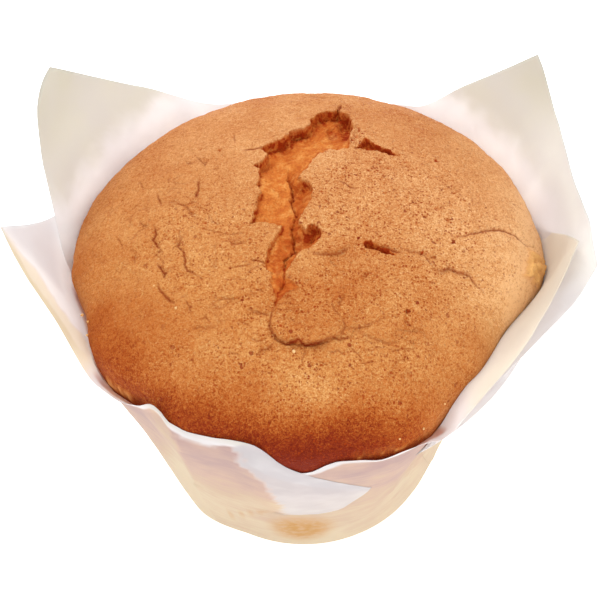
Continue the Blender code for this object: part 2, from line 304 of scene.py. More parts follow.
class Graph:
    """A material's node tree, and the steps that the finishes share."""

    def __init__(self, name: str, *masks: Mask) -> None:
        """Start the material.

        Args:
            name: Name of the material.
            masks: The vertex masks that it reads.
        """
        self.material = bpy.data.materials.new(name)
        self.material.use_nodes = True
        self.tree = self.material.node_tree
        self.tree.nodes.clear()
        self.place = self.add("TexCoord", output="Object")
        self.masks = {mask: self.add("Attribute", output="Fac", attribute_name=mask.value) for mask in masks}

    def add(self, kind: str, inputs: Any = (), output: Any = 0, stops: Stops = (), **settings: Any) -> Any:
        """Add a node with its settings, values, links and colour stops.

        Args:
            kind: The node's type, without the words that every shader node's type starts with.
            inputs: A value or a socket to link from for each input, in order or by name or number.
            output: Name or number of the output to go on with.
            stops: Places of a colour ramp, each with an sRGB hex colour or a number.
            settings: Properties of the node.

        Returns:
            The output, or nothing where the node has none.
        """
        node = self.tree.nodes.new("ShaderNode" + kind)
        for name, value in settings.items():
            setattr(node, name, value)
        for key, value in inputs.items() if isinstance(inputs, dict) else enumerate(inputs):
            if isinstance(value, bpy.types.NodeSocket):
                self.tree.links.new(value, node.inputs[key])
            else:
                node.inputs[key].default_value = value
        if stops:
            ramp = node.color_ramp
            while len(ramp.elements) < len(stops):
                ramp.elements.new(1.0)
            for element, (place, tone) in zip(ramp.elements, stops):
                element.position = place
                element.color = srgb(tone) if isinstance(tone, str) else (tone, tone, tone, 1.0)
        return node.outputs[output] if node.outputs else None

    def grain(self, size: float, detail: float = 3.0, stretch: Sequence[float] = (1, 1, 1)) -> bpy.types.NodeSocket:
        """Noise whose waves are a given number of millimetres wide.

        Args:
            size: Width of the waves.
            detail: How many finer layers it has.
            stretch: How many times wider the waves are along each axis.

        Returns:
            The socket with the noise, from 0 to 1.
        """
        scale = tuple(1.0 / (size * MM * times) for times in stretch)
        spots = self.add("Mapping", {"Vector": self.place, "Scale": scale})
        return self.add("TexNoise", {"Vector": spots, "Scale": 1.0, "Detail": detail}, "Fac")

    def sway(self, value: Any, grain: bpy.types.NodeSocket, strength: Any) -> bpy.types.NodeSocket:
        """A value that a grain from 0 to 1 moves up and down."""
        swing = self.add("Math", (grain, 0.5), operation="SUBTRACT")
        return self.add("Math", (swing, strength, value), operation="MULTIPLY_ADD")

    def pile(self, *layers: tuple[bpy.types.NodeSocket, float]) -> Any:
        """Add up layers, each times its own height.

        Args:
            layers: The layers with their heights.

        Returns:
            The socket with the sum.
        """
        total: Any = 0.0
        for layer, height in layers:
            total = self.add("Math", (layer, height, total), operation="MULTIPLY_ADD")
        return total

    def shares(self, first: Any, *others: Any) -> Any:
        """Multiply shares.

        Args:
            first: The first share.
            others: The shares to take of it, one after another.

        Returns:
            The socket with the product.
        """
        for other in others:
            first = self.add("Math", (first, other), operation="MULTIPLY")
        return first

    def coats(self, colour: Any, *coats: tuple[Any, Any]) -> Any:
        """Lay coats of colour over each other.

        Args:
            colour: The lowest colour.
            coats: How much each coat covers, and its colour.

        Returns:
            The socket with the colour seen.
        """
        for share, coat in coats:
            coat = srgb(coat) if isinstance(coat, str) else coat
            colour = self.add("Mix", {0: share, 6: colour, 7: coat}, 2, data_type="RGBA")
        return colour

    def finish(self, shader: bpy.types.NodeSocket) -> bpy.types.Material:
        """Close the material with its shader."""
        self.add("OutputMaterial", {"Surface": shader})
        return self.material


@dataclass(frozen=True)
class CrustFinish:
    """Baked sponge: a dry, matte golden crust pricked with pores, over a moist orange crumb.

    The crust scatters light in all directions and has hardly any sheen, so the eye reads its toasting, its
    pores and its wrinkles, whose bottoms are darkened with painted shade. The torn crumb is deeper and redder,
    scorched along its edges, and darkened with painted shade on its walls, in its crevice and in its tears.
    """

    # Crust towards the back, and warmer, darker crust towards the front and left, each from lightest to darkest
    upper: Stops = (
        (0.0, "#F2BE88"), (0.15, "#E0A26A"), (0.3, "#CE8A52"), (0.5, "#B4602A"), (0.65, "#9A4416"), (1.0, "#6A2204"),
    )
    lower: Stops = (
        (0.0, "#EAB074"), (0.15, "#D69756"), (0.3, "#C88042"), (0.5, "#B76428"), (0.65, "#A24A14"), (0.82, "#862C06"),
        (1.0, "#721C02"),
    )
    crumb: Stops = ((0.3, "#C26226"), (0.5, "#D47A32"), (0.7, "#E69A50"))
    # Colours of the scorch and painted shade of the torn crumb, from lightest to darkest
    scorched: Stops = ((0.0, "#C4601A"), (0.5, "#B44A0C"), (1.0, "#9E3204"))
    # Painted shade in the bottoms of creases and wrinkles and under the curled lip
    line: str = "#8C3006"
    pore: str = "#9E3600"
    deep_pore: str = "#8A2002"
    fleck: str = "#F4D2A2"
    pale_crumb: str = "#F8C47A"
    # Grit, fine grain and dust of the crust: width, detail, how far it speckles the toasting, how high it stands
    speckles: tuple[tuple[float, float, float, float], ...] = (
        (0.9, 3, 0.44, 0.9), (0.42, 2, 0.62, 0.8), (0.22, 1, 0.75, 0.6),
    )
    # Small and large pores: spacing, radius as a share of it, share left out, raggedness
    small_pores: tuple[float, float, float, float] = (0.52, 0.48, 0.0, 0.20)
    large_pores: tuple[float, float, float, float] = (1.7, 0.24, 0.25, 0.5)
    relief: float = 0.38
    roughness: float = 0.75
    sheen: float = 0.12

    def material(self) -> bpy.types.Material:
        """Build the material.

        Returns:
            The crust, which reads the cake's masks.
        """
        used = (Mask.BROWNING, Mask.PORES, Mask.WARM, Mask.PALE, Mask.TORN, Mask.SCORCH_AND_SHADE)
        graph = Graph("baked sponge crust", *used)
        browning, pores, warm, pale, torn, scorch_and_shade = graph.masks.values()
        grains = [graph.grain(size, detail) for size, detail, _speckle, _height in self.speckles]
        toast = graph.sway(browning, graph.grain(6.0), 0.24)
        rough = graph.add("Math", (pores, 0.60, 0.40), operation="MULTIPLY_ADD")
        for grain, (_size, _detail, speckle, _height) in zip(grains, self.speckles):
            toast = graph.sway(toast, grain, graph.shares(rough, speckle))
        light = graph.add("ValToRGB", (toast,), stops=((0.3, 1.0), (0.55, 0.0)))
        fleck = graph.shares(graph.add("ValToRGB", (graph.grain(0.34, 1.0),), stops=((0.62, 0.0), (0.76, 0.2))), light)

        # Ragged pores 0.1 to 0.4 mm wide in patches, with a few of up to 0.8 mm
        porous = graph.shares(pores, graph.add("ValToRGB", (graph.grain(3.0),), stops=((0.32, 0.45), (0.54, 1.0))))
        small, large = (graph.shares(self.pores(graph, *kind), porous) for kind in (self.small_pores, self.large_pores))
        painted_shade_lines = self.painted_shade_lines(graph)
        crust = graph.coats(
            graph.add("ValToRGB", (toast,), stops=self.upper),
            (warm, graph.add("ValToRGB", (toast,), stops=self.lower)),
            (fleck, self.fleck),
            (graph.shares(small, 0.95), self.pore),
            (graph.shares(large, 0.9), self.deep_pore),
            (painted_shade_lines, self.line),
        )

        crumb = graph.add("ValToRGB", (graph.sway(graph.grain(1.8, 6.0), grains[1], 0.5),), stops=self.crumb)
        patchy = graph.add("ValToRGB", (graph.grain(1.0, 5.0),), stops=((0.36, 0.45), (0.60, 1.3)))
        patchy_scorch_and_shade = graph.shares(scorch_and_shade, patchy)
        cover = graph.add("Math", (graph.shares(patchy_scorch_and_shade, 1.15), 1.0), operation="MINIMUM")
        skin = graph.coats(
            crust,
            (torn, graph.coats(crumb, (pale, self.pale_crumb))),
            (cover, graph.add("ValToRGB", (patchy_scorch_and_shade,), stops=self.scorched)),
        )
        raised = [(grain, height) for grain, (_size, _detail, _speckle, height) in zip(grains, self.speckles)]
        height = graph.pile(*raised, (small, -0.25), (large, -0.5), (painted_shade_lines, -0.25))
        normal = graph.add("Bump", {"Height": height, "Distance": self.relief * MM, "Strength": 1.0})
        inputs = {"Base Color": skin, "Normal": normal, "Roughness": self.roughness, "Specular IOR Level": self.sheen}
        return graph.finish(graph.add("BsdfPrincipled", inputs))

    def pores(self, graph: Graph, spacing: float, width: float, rare: float, ragged: float) -> bpy.types.NodeSocket:
        """Scatter small dark pores of uneven outline.

        Args:
            graph: The material.
            spacing: Distance between pores.
            width: Greatest radius of a pore, as a share of the spacing.
            rare: Share of the places that stay without a pore.
            ragged: How far the outline wanders, in millimetres.

        Returns:
            The socket with 1 in a pore and 0 outside.
        """
        wander = graph.add("TexNoise", {"Vector": graph.place, "Scale": 1.0 / (1.6 * ragged * MM)}, "Color")
        shift = (wander, (2.0 * ragged * MM,) * 3, graph.place)
        spots = graph.add("VectorMath", shift, operation="MULTIPLY_ADD")
        inputs = {"Vector": spots, "Scale": 1.0 / (spacing * MM), "Randomness": 1.0}
        cells = graph.add("TexVoronoi", inputs, "Distance", feature="F1")
        chance = graph.add("SeparateColor", (cells.node.outputs["Color"],))
        radius = graph.shares(graph.add("ValToRGB", (chance,), stops=((rare, 0.0), (1.0, 1.0))), width)
        depth = graph.add("Math", (graph.add("Math", (radius, cells), operation="SUBTRACT"), 0.0), operation="MAXIMUM")
        return graph.add("Math", (graph.shares(depth, 5.0 / width), 1.0), operation="MINIMUM")

    def painted_shade_lines(self, graph: Graph) -> bpy.types.NodeSocket:
        """Paint shade into the thin dark bottoms of creases and wrinkles, finer than the mesh.

        Args:
            graph: The material.

        Returns:
            The socket with 1 in a painted shade line and 0 outside.
        """
        wobble = graph.sway(0.0, graph.grain(0.45, 2.0), 1.3)
        crease, wrinkle = (
            graph.add("SeparateXYZ", (graph.add("Attribute", output="Vector", attribute_name=field),)).node.outputs
            for field in (CREASE_FIELD, WRINKLE_FIELD)
        )
        square = graph.add("Math", (crease[0], crease[0], graph.shares(crease[1], crease[1])), operation="MULTIPLY_ADD")
        gap = graph.add("Math", (graph.add("Math", (square,), operation="SQRT"), wobble), operation="ADD")
        wide = graph.add("ValToRGB", (graph.shares(gap, 0.5),), stops=((0.05, 1.0), (0.58, 0.0)))
        gap = graph.pile((graph.add("Math", (wrinkle[0],), operation="ABSOLUTE"), 1.0), (wobble, 0.12))
        fine = graph.add("ValToRGB", (gap,), stops=((0.02, 1.0), (0.30, 0.0)))
        both = (graph.shares(crease[2], wide), graph.shares(wrinkle[1], fine))
        return graph.add("Math", both, operation="MAXIMUM")


@dataclass(frozen=True)
class ParchmentFinish:
    """Bleached baking parchment: a thin, hard, slightly glossy sheet that lets light through.

    Dry it is a warm white, creamier towards its free tips. Where the cake's fat has soaked it, it is
    glassy, and the sponge behind it shows through as pink, peach and yellow.
    """

    dry: str = "#FBF9F8"
    cream: str = "#DDD9CC"
    # Grey of the painted shade on the petals and the flap, also laid in random patches
    painted_shade: str = "#E1DCDD"
    soaked: Stops = ((0.0, "#D5B7B1"), (0.4, "#E6CBB9"), (0.65, "#EAD4B9"), (1.0, "#F2E4C8"))
    warm_spot: str = "#E2B060"
    relief: float = 0.15
    roughness: float = 0.45
    sheen: float = 0.3
    glow_share: float = 0.5

    def material(self) -> bpy.types.Material:
        """Build the material.

        Returns:
            The parchment, which reads the case's masks.
        """
        graph = Graph("bleached baking parchment", Mask.CREAM, Mask.PAINTED_SHADE, Mask.WARM, Mask.GREASE, Mask.PALE)
        cream, painted_shade, warm, grease, pale = graph.masks.values()
        # Clouds of fat 8 mm wide, and fibres drawn ten times coarser than real ones so that they show
        cloud, fibre = graph.grain(8.0), graph.grain(1.0, 5.0, (5.0, 5.0, 1.0))
        patchy = graph.add("ValToRGB", (cloud,), stops=((0.35, 0.0), (0.65, 0.30)))
        # Painted shade, and random grey patches across the sheet, in one grey
        painted_shade_and_patches = graph.add("Math", (painted_shade, patchy), operation="MAXIMUM")
        warmth = graph.sway(graph.sway(warm, cloud, 1.0), fibre, 0.6)
        mottle = graph.add("ValToRGB", (graph.grain(1.5, 4.0),), stops=((0.3, 0.6), (0.6, 1.0)))
        paper = graph.coats(
            srgb(self.dry),
            (cream, self.cream),
            (painted_shade_and_patches, self.painted_shade),
            (grease, graph.add("ValToRGB", (warmth,), stops=self.soaked)),
            (graph.shares(pale, mottle), self.warm_spot),
        )
        height = graph.pile((fibre, 0.3), (graph.grain(2.2, 4.0), 0.8))
        normal = graph.add("Bump", {"Height": height, "Distance": self.relief * MM, "Strength": 0.5})
        inputs = {"Base Color": paper, "Normal": normal, "Roughness": self.roughness, "Specular IOR Level": self.sheen}
        solid, glow = graph.add("BsdfPrincipled", inputs), graph.add("BsdfTranslucent", {"Color": paper})
        return graph.finish(graph.add("MixShader", (self.glow_share, solid, glow)))


@dataclass(frozen=True)
class CrumbFinish:
    """Dry crumbs of sponge, matte and lighter than the crust they fell from."""

    colours: Stops = ((0.3, "#D8994E"), (0.7, "#EAC48C"))

    def material(self) -> bpy.types.Material:
        """Build the material.

        Returns:
            The crumbs' finish.
        """
        graph = Graph("dry sponge crumb")
        colour = graph.add("ValToRGB", (graph.grain(1.2),), stops=self.colours)
        inputs = {"Base Color": colour, "Roughness": 0.85, "Specular IOR Level": 0.2}
        return graph.finish(graph.add("BsdfPrincipled", inputs))


@dataclass(frozen=True)
class FloorFinish:
    """A matte white light table, lit faintly from below so that what stands on it casts hardly a shadow."""

    colour: str = "#F7F7F8"
    cloud: str = "#F5F5F6"
    light: str = "#FFFFFF"
    glow: float = 0.55

    def material(self) -> bpy.types.Material:
        """Build the material.

        Returns:
            The floor's finish.
        """
        graph = Graph("matte white light table")
        inputs = {
            "Base Color": graph.coats(srgb(self.colour), (graph.grain(60.0), self.cloud)),
            "Roughness": 0.9,
            "Specular IOR Level": 0.1,
            "Emission Color": srgb(self.light),
            "Emission Strength": self.glow,
        }
        return graph.finish(graph.add("BsdfPrincipled", inputs))


# ----------------------------------------
# The cake


@dataclass(frozen=True)
class CakeForm:
    """Body that the cake and its case share: a flared side under a shallow dome."""

    lean: float = 0.8
    foot_radius: float = 23.7
    flare: float = 0.371
    flare_end: float = 48.0
    equator: float = 56.0
    dome_rise: float = 12.6
    dome_fullness: float = 2.3
    dome_shoulder: float = 0.55
    # Where the case presses the cake in, or lets it bulge where the depth is negative: azimuth, depth, half
    # width, height at which it begins, height at which it is full
    dents: tuple[tuple[float, float, float, float, float], ...] = (
        (338, 4.5, 21, 3, 32), (316, 4.6, 26, 3, 32), (250, 1.3, 13, 12, 48), (224, 1.6, 14, 12, 48),
        (195, 1.7, 14, 30, 50), (138, 1.1, 36, 12, 48), (100, 0.9, 40, 12, 48), (220, -1.6, 26, 34, 2),
    )

    def middle_x(self, height: Any) -> Any:
        """X of the cake's middle at a height."""
        return self.lean * np.minimum(height, self.equator) / self.equator

    def azimuth_of(self, x: Any, y: Any, height: Any) -> Any:
        """Azimuth of a point as seen from the cake's middle, from 0 to 360."""
        return np.degrees(np.arctan2(y, x - self.middle_x(height))) % 360.0

    def place(self, azimuth: float, radius: float, height: float) -> np.ndarray:
        """Point at an azimuth and a radius from the cake's middle at a height."""
        turn = math.radians(azimuth)
        return np.array([self.middle_x(height) + radius * math.cos(turn), radius * math.sin(turn), height])

    def side_radius(self, azimuth: Any, height: Any) -> Any:
        """Radius of the side.

        Args:
            azimuth: Direction from the cake's middle.
            height: Height above the floor.

        Returns:
            Radius at that place, with the case's dents taken off.
        """
        above = np.maximum(0.0, np.minimum(height, self.equator) - self.flare_end)
        turning = above - above * above / (2.0 * (self.equator - self.flare_end))
        radius = self.foot_radius + self.flare * (np.minimum(height, self.flare_end) + turning)
        for centre, deepest, half_width, start, full in self.dents:
            depth = deepest * smooth(half_width, 0.0, turn_from(azimuth, centre))
            radius = radius - depth * smooth(start, full, height)
        return radius

    def dome(self, reach: Any) -> Any:
        """Height of the plain dome at a share of the way to the widest ring."""
        fall = np.minimum(1.0, reach) ** self.dome_fullness
        return self.equator + self.dome_rise * (1.0 - fall) ** self.dome_shoulder

    def dome_normals(self, azimuth: np.ndarray, reach: np.ndarray) -> np.ndarray:
        """Directions that stand on the plain dome.

        Args:
            azimuth: Direction of each point from the middle.
            reach: Share of the way to the widest ring.

        Returns:
            One unit vector for each point.
        """
        fullness, shoulder = self.dome_fullness, self.dome_shoulder
        left = np.maximum(1e-4, 1.0 - np.minimum(1.0, reach) ** fullness)
        fall = self.dome_rise * shoulder * fullness * reach ** (fullness - 1.0) * left ** (shoulder - 1.0)
        slope = fall / self.side_radius(azimuth, self.equator)
        turn = np.radians(azimuth)
        normals = np.stack([slope * np.cos(turn), slope * np.sin(turn), np.ones(len(turn))], axis=1)
        return normals / np.linalg.norm(normals, axis=1)[:, None]


@dataclass(frozen=True)
class Crease:
    """A crust wrinkle or crack: half width of its painted shade line, depth, darkness, raised border and line."""

    half_width: float
    depth: float
    tone: float
    ridge: float
    path: Path


CREASES = (
    Crease(0.22, 0.25, 0.55, 0.15, ((-20, 18.5), (-19.1, 17.1), (-18.1, 15.4), (-17.6, 16.8))),
    Crease(0.26, 0.4, 0.8, 0.25, ((-19.1, 11.9), (-19.2, 10.2), (-19.1, 8.5), (-19.6, 7.2), (-18.9, 6.6))),
    Crease(0.2, 0.2, 0.5, 0.15, ((-19.4, 5.9), (-20.5, 5.2), (-21, 4.6))),
    Crease(0.22, 0.3, 0.6, 0.2, ((-23.4, 6), (-22.3, 5.2), (-21.2, 4.6), (-20.4, 3.3), (-19.8, 2.3))),
    Crease(0.22, 0.35, 0.6, 0.25, ((-26.8, 9.4), (-26.4, 7.6), (-25.6, 5.6))),
    Crease(0.26, 0.45, 0.85, 0.3, (
        (-27, 1.4), (-26.6, -0.3), (-26.4, -1), (-26.9, -2.1), (-26.1, -3.5), (-25.4, -4.6),
    )),
    Crease(0.24, 0.45, 0.75, 0.3, (
        (-22.1, -1.4), (-22, -2.9), (-22.3, -4.5), (-21.4, -5.7), (-21, -7.4), (-21.1, -8.6), (-20.4, -10.1),
        (-19.3, -11.1), (-18.2, -11.5),
    )),
    Crease(0.28, 0.5, 0.95, 0.3, ((-26, -7.6), (-25.2, -9.2), (-24.6, -10.2), (-23.7, -10.2))),
    Crease(0.24, 0.3, 0.7, 0.15, ((-24.6, -10.2), (-24.4, -11.4))),
    Crease(0.28, 0.45, 0.8, 0.35, ((-25.7, -12.2), (-25.1, -13.9), (-23.9, -15.4), (-22.6, -16.7))),
    Crease(0.2, 0.2, 0.5, 0.1, ((-16.6, 1.6), (-16.2, 0.5), (-15.5, -0.3), (-14.8, -0.1))),
    Crease(0.22, 0.25, 0.6, 0.15, ((-13.3, -3.7), (-12.7, -5.1), (-12, -5.4), (-11.3, -5.2), (-10.1, -4.6))),
    Crease(0.2, 0.15, 0.35, 0.1, ((-31.3, 6.4), (-30.8, 6.8), (-30.1, 7.6))),
    Crease(0.2, 0.2, 0.5, 0.15, ((-29.5, 2.8), (-28.9, 1.7), (-28.1, 1.5))),
    Crease(0.2, 0.2, 0.5, 0.15, ((-33.6, 0.3), (-32.9, -0.9), (-32.5, -2.4))),
    Crease(0.2, 0.2, 0.5, 0.15, ((-29.9, -4.2), (-30.2, -5.4), (-30, -6.7))),
    Crease(0.2, 0.2, 0.5, 0.1, ((-28.5, -6.9), (-27.7, -8.2))),
    Crease(0.2, 0.15, 0.35, 0.15, ((-27.1, -6.2), (-26.2, -5), (-25.4, -4.8), (-24.8, -5.6))),
    Crease(0.2, 0.12, 0.4, 0.1, (
        (-18.3, -1.2), (-16.3, -1.6), (-14.5, -2.2), (-13.1, -2.6), (-11.3, -2.7), (-10.3, -2.5),
    )),
    Crease(0.2, 0.12, 0.4, 0.08, ((-21.7, 17.7), (-21.2, 16.1), (-20.5, 16.2), (-19.8, 16.3))),
    Crease(0.2, 0.12, 0.35, 0.08, ((-16.9, 14.1), (-15.5, 14.2))),
    Crease(0.22, 0.2, 0.4, 0.15, ((-30, 13.4), (-29.3, 11.4), (-29, 11))),
    Crease(0.2, 0.25, 0.5, 0.2, ((-20.7, -16.2), (-19.8, -17.6), (-19.6, -18.9))),
    Crease(0.2, 0.25, 0.5, 0.15, ((-18, -20.1), (-17.1, -19.7), (-16.4, -20.7))),
    Crease(0.2, 0.2, 0.45, 0.15, ((-19.3, -22.1), (-17.9, -21.5), (-16.4, -22.4))),
    Crease(0.22, 0.25, 0.5, 0.25, ((-15.8, -16.8), (-14, -16.7), (-11.4, -16.7))),
    Crease(0.22, 0.3, 0.75, 0.15, ((-9.5, -8.7), (-8.4, -8.3), (-7.4, -8.8), (-6.7, -9.5))),
    Crease(0.2, 0.2, 0.5, 0.15, ((-9.1, -9.3), (-10.7, -9.9), (-12.6, -10.2))),
    Crease(0.2, 0.2, 0.55, 0.1, ((-8.5, -15), (-7.7, -15.2), (-6.8, -15.8))),
    Crease(0.22, 0.25, 0.6, 0.2, ((-8.8, -19.2), (-8, -19.4), (-6.9, -20), (-5.9, -20.2))),
    Crease(0.22, 0.25, 0.45, 0.2, ((-10.1, -18.8), (-7.3, -20))),
    Crease(0.22, 0.25, 0.45, 0.2, ((-11.2, -21.2), (-9.2, -22.1))),
    Crease(0.2, 0.2, 0.5, 0.15, ((-9.3, -24.3), (-7.9, -25.1), (-6.7, -25))),
    Crease(0.24, 0.35, 0.5, 0.3, ((-7.9, -27.6), (-7.2, -26.8), (-6.2, -26.5), (-5.1, -25.8))),
    Crease(0.2, 0.2, 0.45, 0.1, ((-12.9, -26.9), (-10.9, -27.3))),
    Crease(0.22, 0.2, 0.4, 0.1, ((0, -26.4), (0.2, -27.7), (-0.3, -28.8), (0, -30.1))),
    Crease(0.2, 0.2, 0.5, 0.12, ((3.9, -27.2), (5, -27.4), (5.8, -27), (6.7, -27.5), (7.5, -26.9))),
    Crease(0.2, 0.2, 0.55, 0.12, ((7.9, -26), (8.7, -26.9), (9.4, -27.8), (10.3, -28.6))),
    Crease(0.2, 0.15, 0.5, 0.1, ((9.6, -29.2), (10.8, -29.1), (12.3, -28.8))),
    Crease(0.2, 0.15, 0.4, 0.1, ((2.2, -28.9), (3.4, -29.3), (4.4, -29.9))),
    Crease(0.22, 0.25, 0.5, 0.2, ((4.7, -18), (5.2, -19.2), (5.9, -20.2), (6.6, -20.9))),
    Crease(0.25, 0.3, 0.4, 0.25, ((7.1, -16.3), (6.4, -17.8), (5.9, -18.6))),
    Crease(0.25, 0.3, 0.5, 0.25, ((6.6, -20.9), (7.1, -22.5), (6.4, -24), (6.7, -24.8))),
    Crease(0.22, 0.25, 0.4, 0.25, ((7.1, -22.9), (8.8, -22.8), (10.7, -22.3), (12.3, -21.6))),
    Crease(0.3, 0.3, 0.45, 0.3, ((9.5, -23.4), (11.4, -24.2), (12.8, -24.8), (15, -25.1), (16.3, -24.7))),
    Crease(0.28, 0.35, 0.6, 0.45, (
        (0.9, -7), (1.9, -7.4), (3.2, -7.9), (4.6, -8), (5.8, -7.7), (6.9, -7.1), (8.1, -5.8),
    )),
    Crease(0.22, 0.3, 0.7, 0.15, ((10.2, -5.5), (11.1, -4.8), (12.2, -4.7))),
    Crease(0.28, 0.5, 0.85, 0.2, ((12.4, -5.6), (14.1, -5.5), (15.5, -6.2), (17.3, -6.5))),
    Crease(0.25, 0.35, 0.45, 0.35, ((17, -5.3), (18.8, -6.3), (21, -6.4), (22.9, -9.3))),
    Crease(0.3, 0.5, 0.65, 0.4, (
        (22.9, -9.3), (24.1, -9.4), (25.4, -8.3), (27.3, -8.8), (29.2, -8.8), (30.8, -10.7), (31.7, -11.1),
    )),
    Crease(0.22, 0.35, 0.75, 0.2, (
        (26.7, -1.8), (29.3, -0.8), (31.6, 0.3), (34, 1.6), (36.3, 2.4), (38.3, 2), (39.9, 0.8), (41.3, 1.3),
    )),
    Crease(0.22, 0.3, 0.6, 0.2, ((-1.4, -13.7), (-1.2, -14.7), (-2.4, -15.6))),
    Crease(0.2, 0.2, 0.4, 0.15, ((4.6, -8.8), (5.1, -10), (5.9, -10.6))),
    Crease(0.2, 0.1, 0.2, 0.3, ((17.1, -15.3), (18.4, -16.7))),
    Crease(0.2, 0.25, 0.8, 0.05, ((6, 10), (7.2, 9.7), (8.3, 8.4), (9.5, 7.9))),
    Crease(0.3, 0.35, 0.8, 0.05, ((-11.4, 19.1), (-9.7, 19), (-7.7, 19.4))),
    Crease(0.2, 0.2, 0.4, 0.05, ((-13.2, 24.1), (-12.8, 20.9))),
    Crease(0.6, 0.4, 0.25, 0.2, ((0.5, 38.5), (2.5, 37.2), (4.2, 36.4))),
    Crease(0.28, 0.6, 0.9, 0.05, ((6.3, 31), (6.9, 33.6))),
    # Painted shadow under the curled lip, a dark line with no groove: its left side, its front and its right side
    Crease(0.24, 0, 0.6, 0, ((-5.2, -18.5), (-5.9, -21.2), (-5.9, -22.6), (-5.5, -23.7), (-4.8, -25.1))),
    Crease(0.34, 0, 1, 0, (
        (-4.8, -25.1), (-2.9, -26), (-0.9, -25.4), (0.2, -26.2), (2.2, -25.8), (4.3, -24.8),
    )),
    Crease(0.28, 0, 0.7, 0, ((4.3, -24.8), (5.2, -24.6), (6.2, -25), (7, -24.6), (8.2, -24.5))),
)

# Larger pores: x, y and radius
PITS = (
    (24.2, 17.3, 0.55), (18.5, 15.9, 0.45), (22.8, 5.8, 0.4), (23.8, 4.5, 0.5), (21.5, 2.1, 0.45), (25.7, 2.1, 0.45),
    (34.5, 4.7, 0.35), (22.6, -7, 0.5), (20.8, -6.2, 0.45), (18.1, -18.2, 0.45), (27.3, 9.4, 0.4), (6, 0.5, 0.5),
    (5, 0.7, 0.35), (6.8, 2.1, 0.45), (7, 5.5, 0.4), (3.1, 7, 0.35), (10.7, -11.8, 0.5), (7.1, -3.5, 0.35),
    (5.8, 12.7, 0.4), (15.3, 13.9, 0.45), (11.6, 12.8, 0.4), (-17.6, 0.1, 0.4), (-27, -0.4, 0.4), (-30.4, -5.1, 0.45),
    (-15.6, 19.4, 0.45), (-19.2, 20.4, 0.4), (-13, -10.2, 0.45), (-12.1, -0.8, 0.35), (-0.2, -19.8, 0.4),
    (-1.4, -20.4, 0.4), (-3.8, -22.9, 0.35), (8.2, -9.7, 0.4), (4.3, -15.3, 0.5), (-33.3, 9.6, 0.35),
    (1.2, -1.9, 0.35), (8.9, -16.8, 0.35), (10.5, -20.7, 0.35), (9.3, 23.6, 0.5), (10.2, 24.2, 0.42),
    (9.5, 22.4, 0.52), (10.4, 22.6, 0.4), (9.1, 21.2, 0.5), (10.3, 20.9, 0.42), (9.9, 25.3, 0.38), (13.5, -3, 0.35),
)


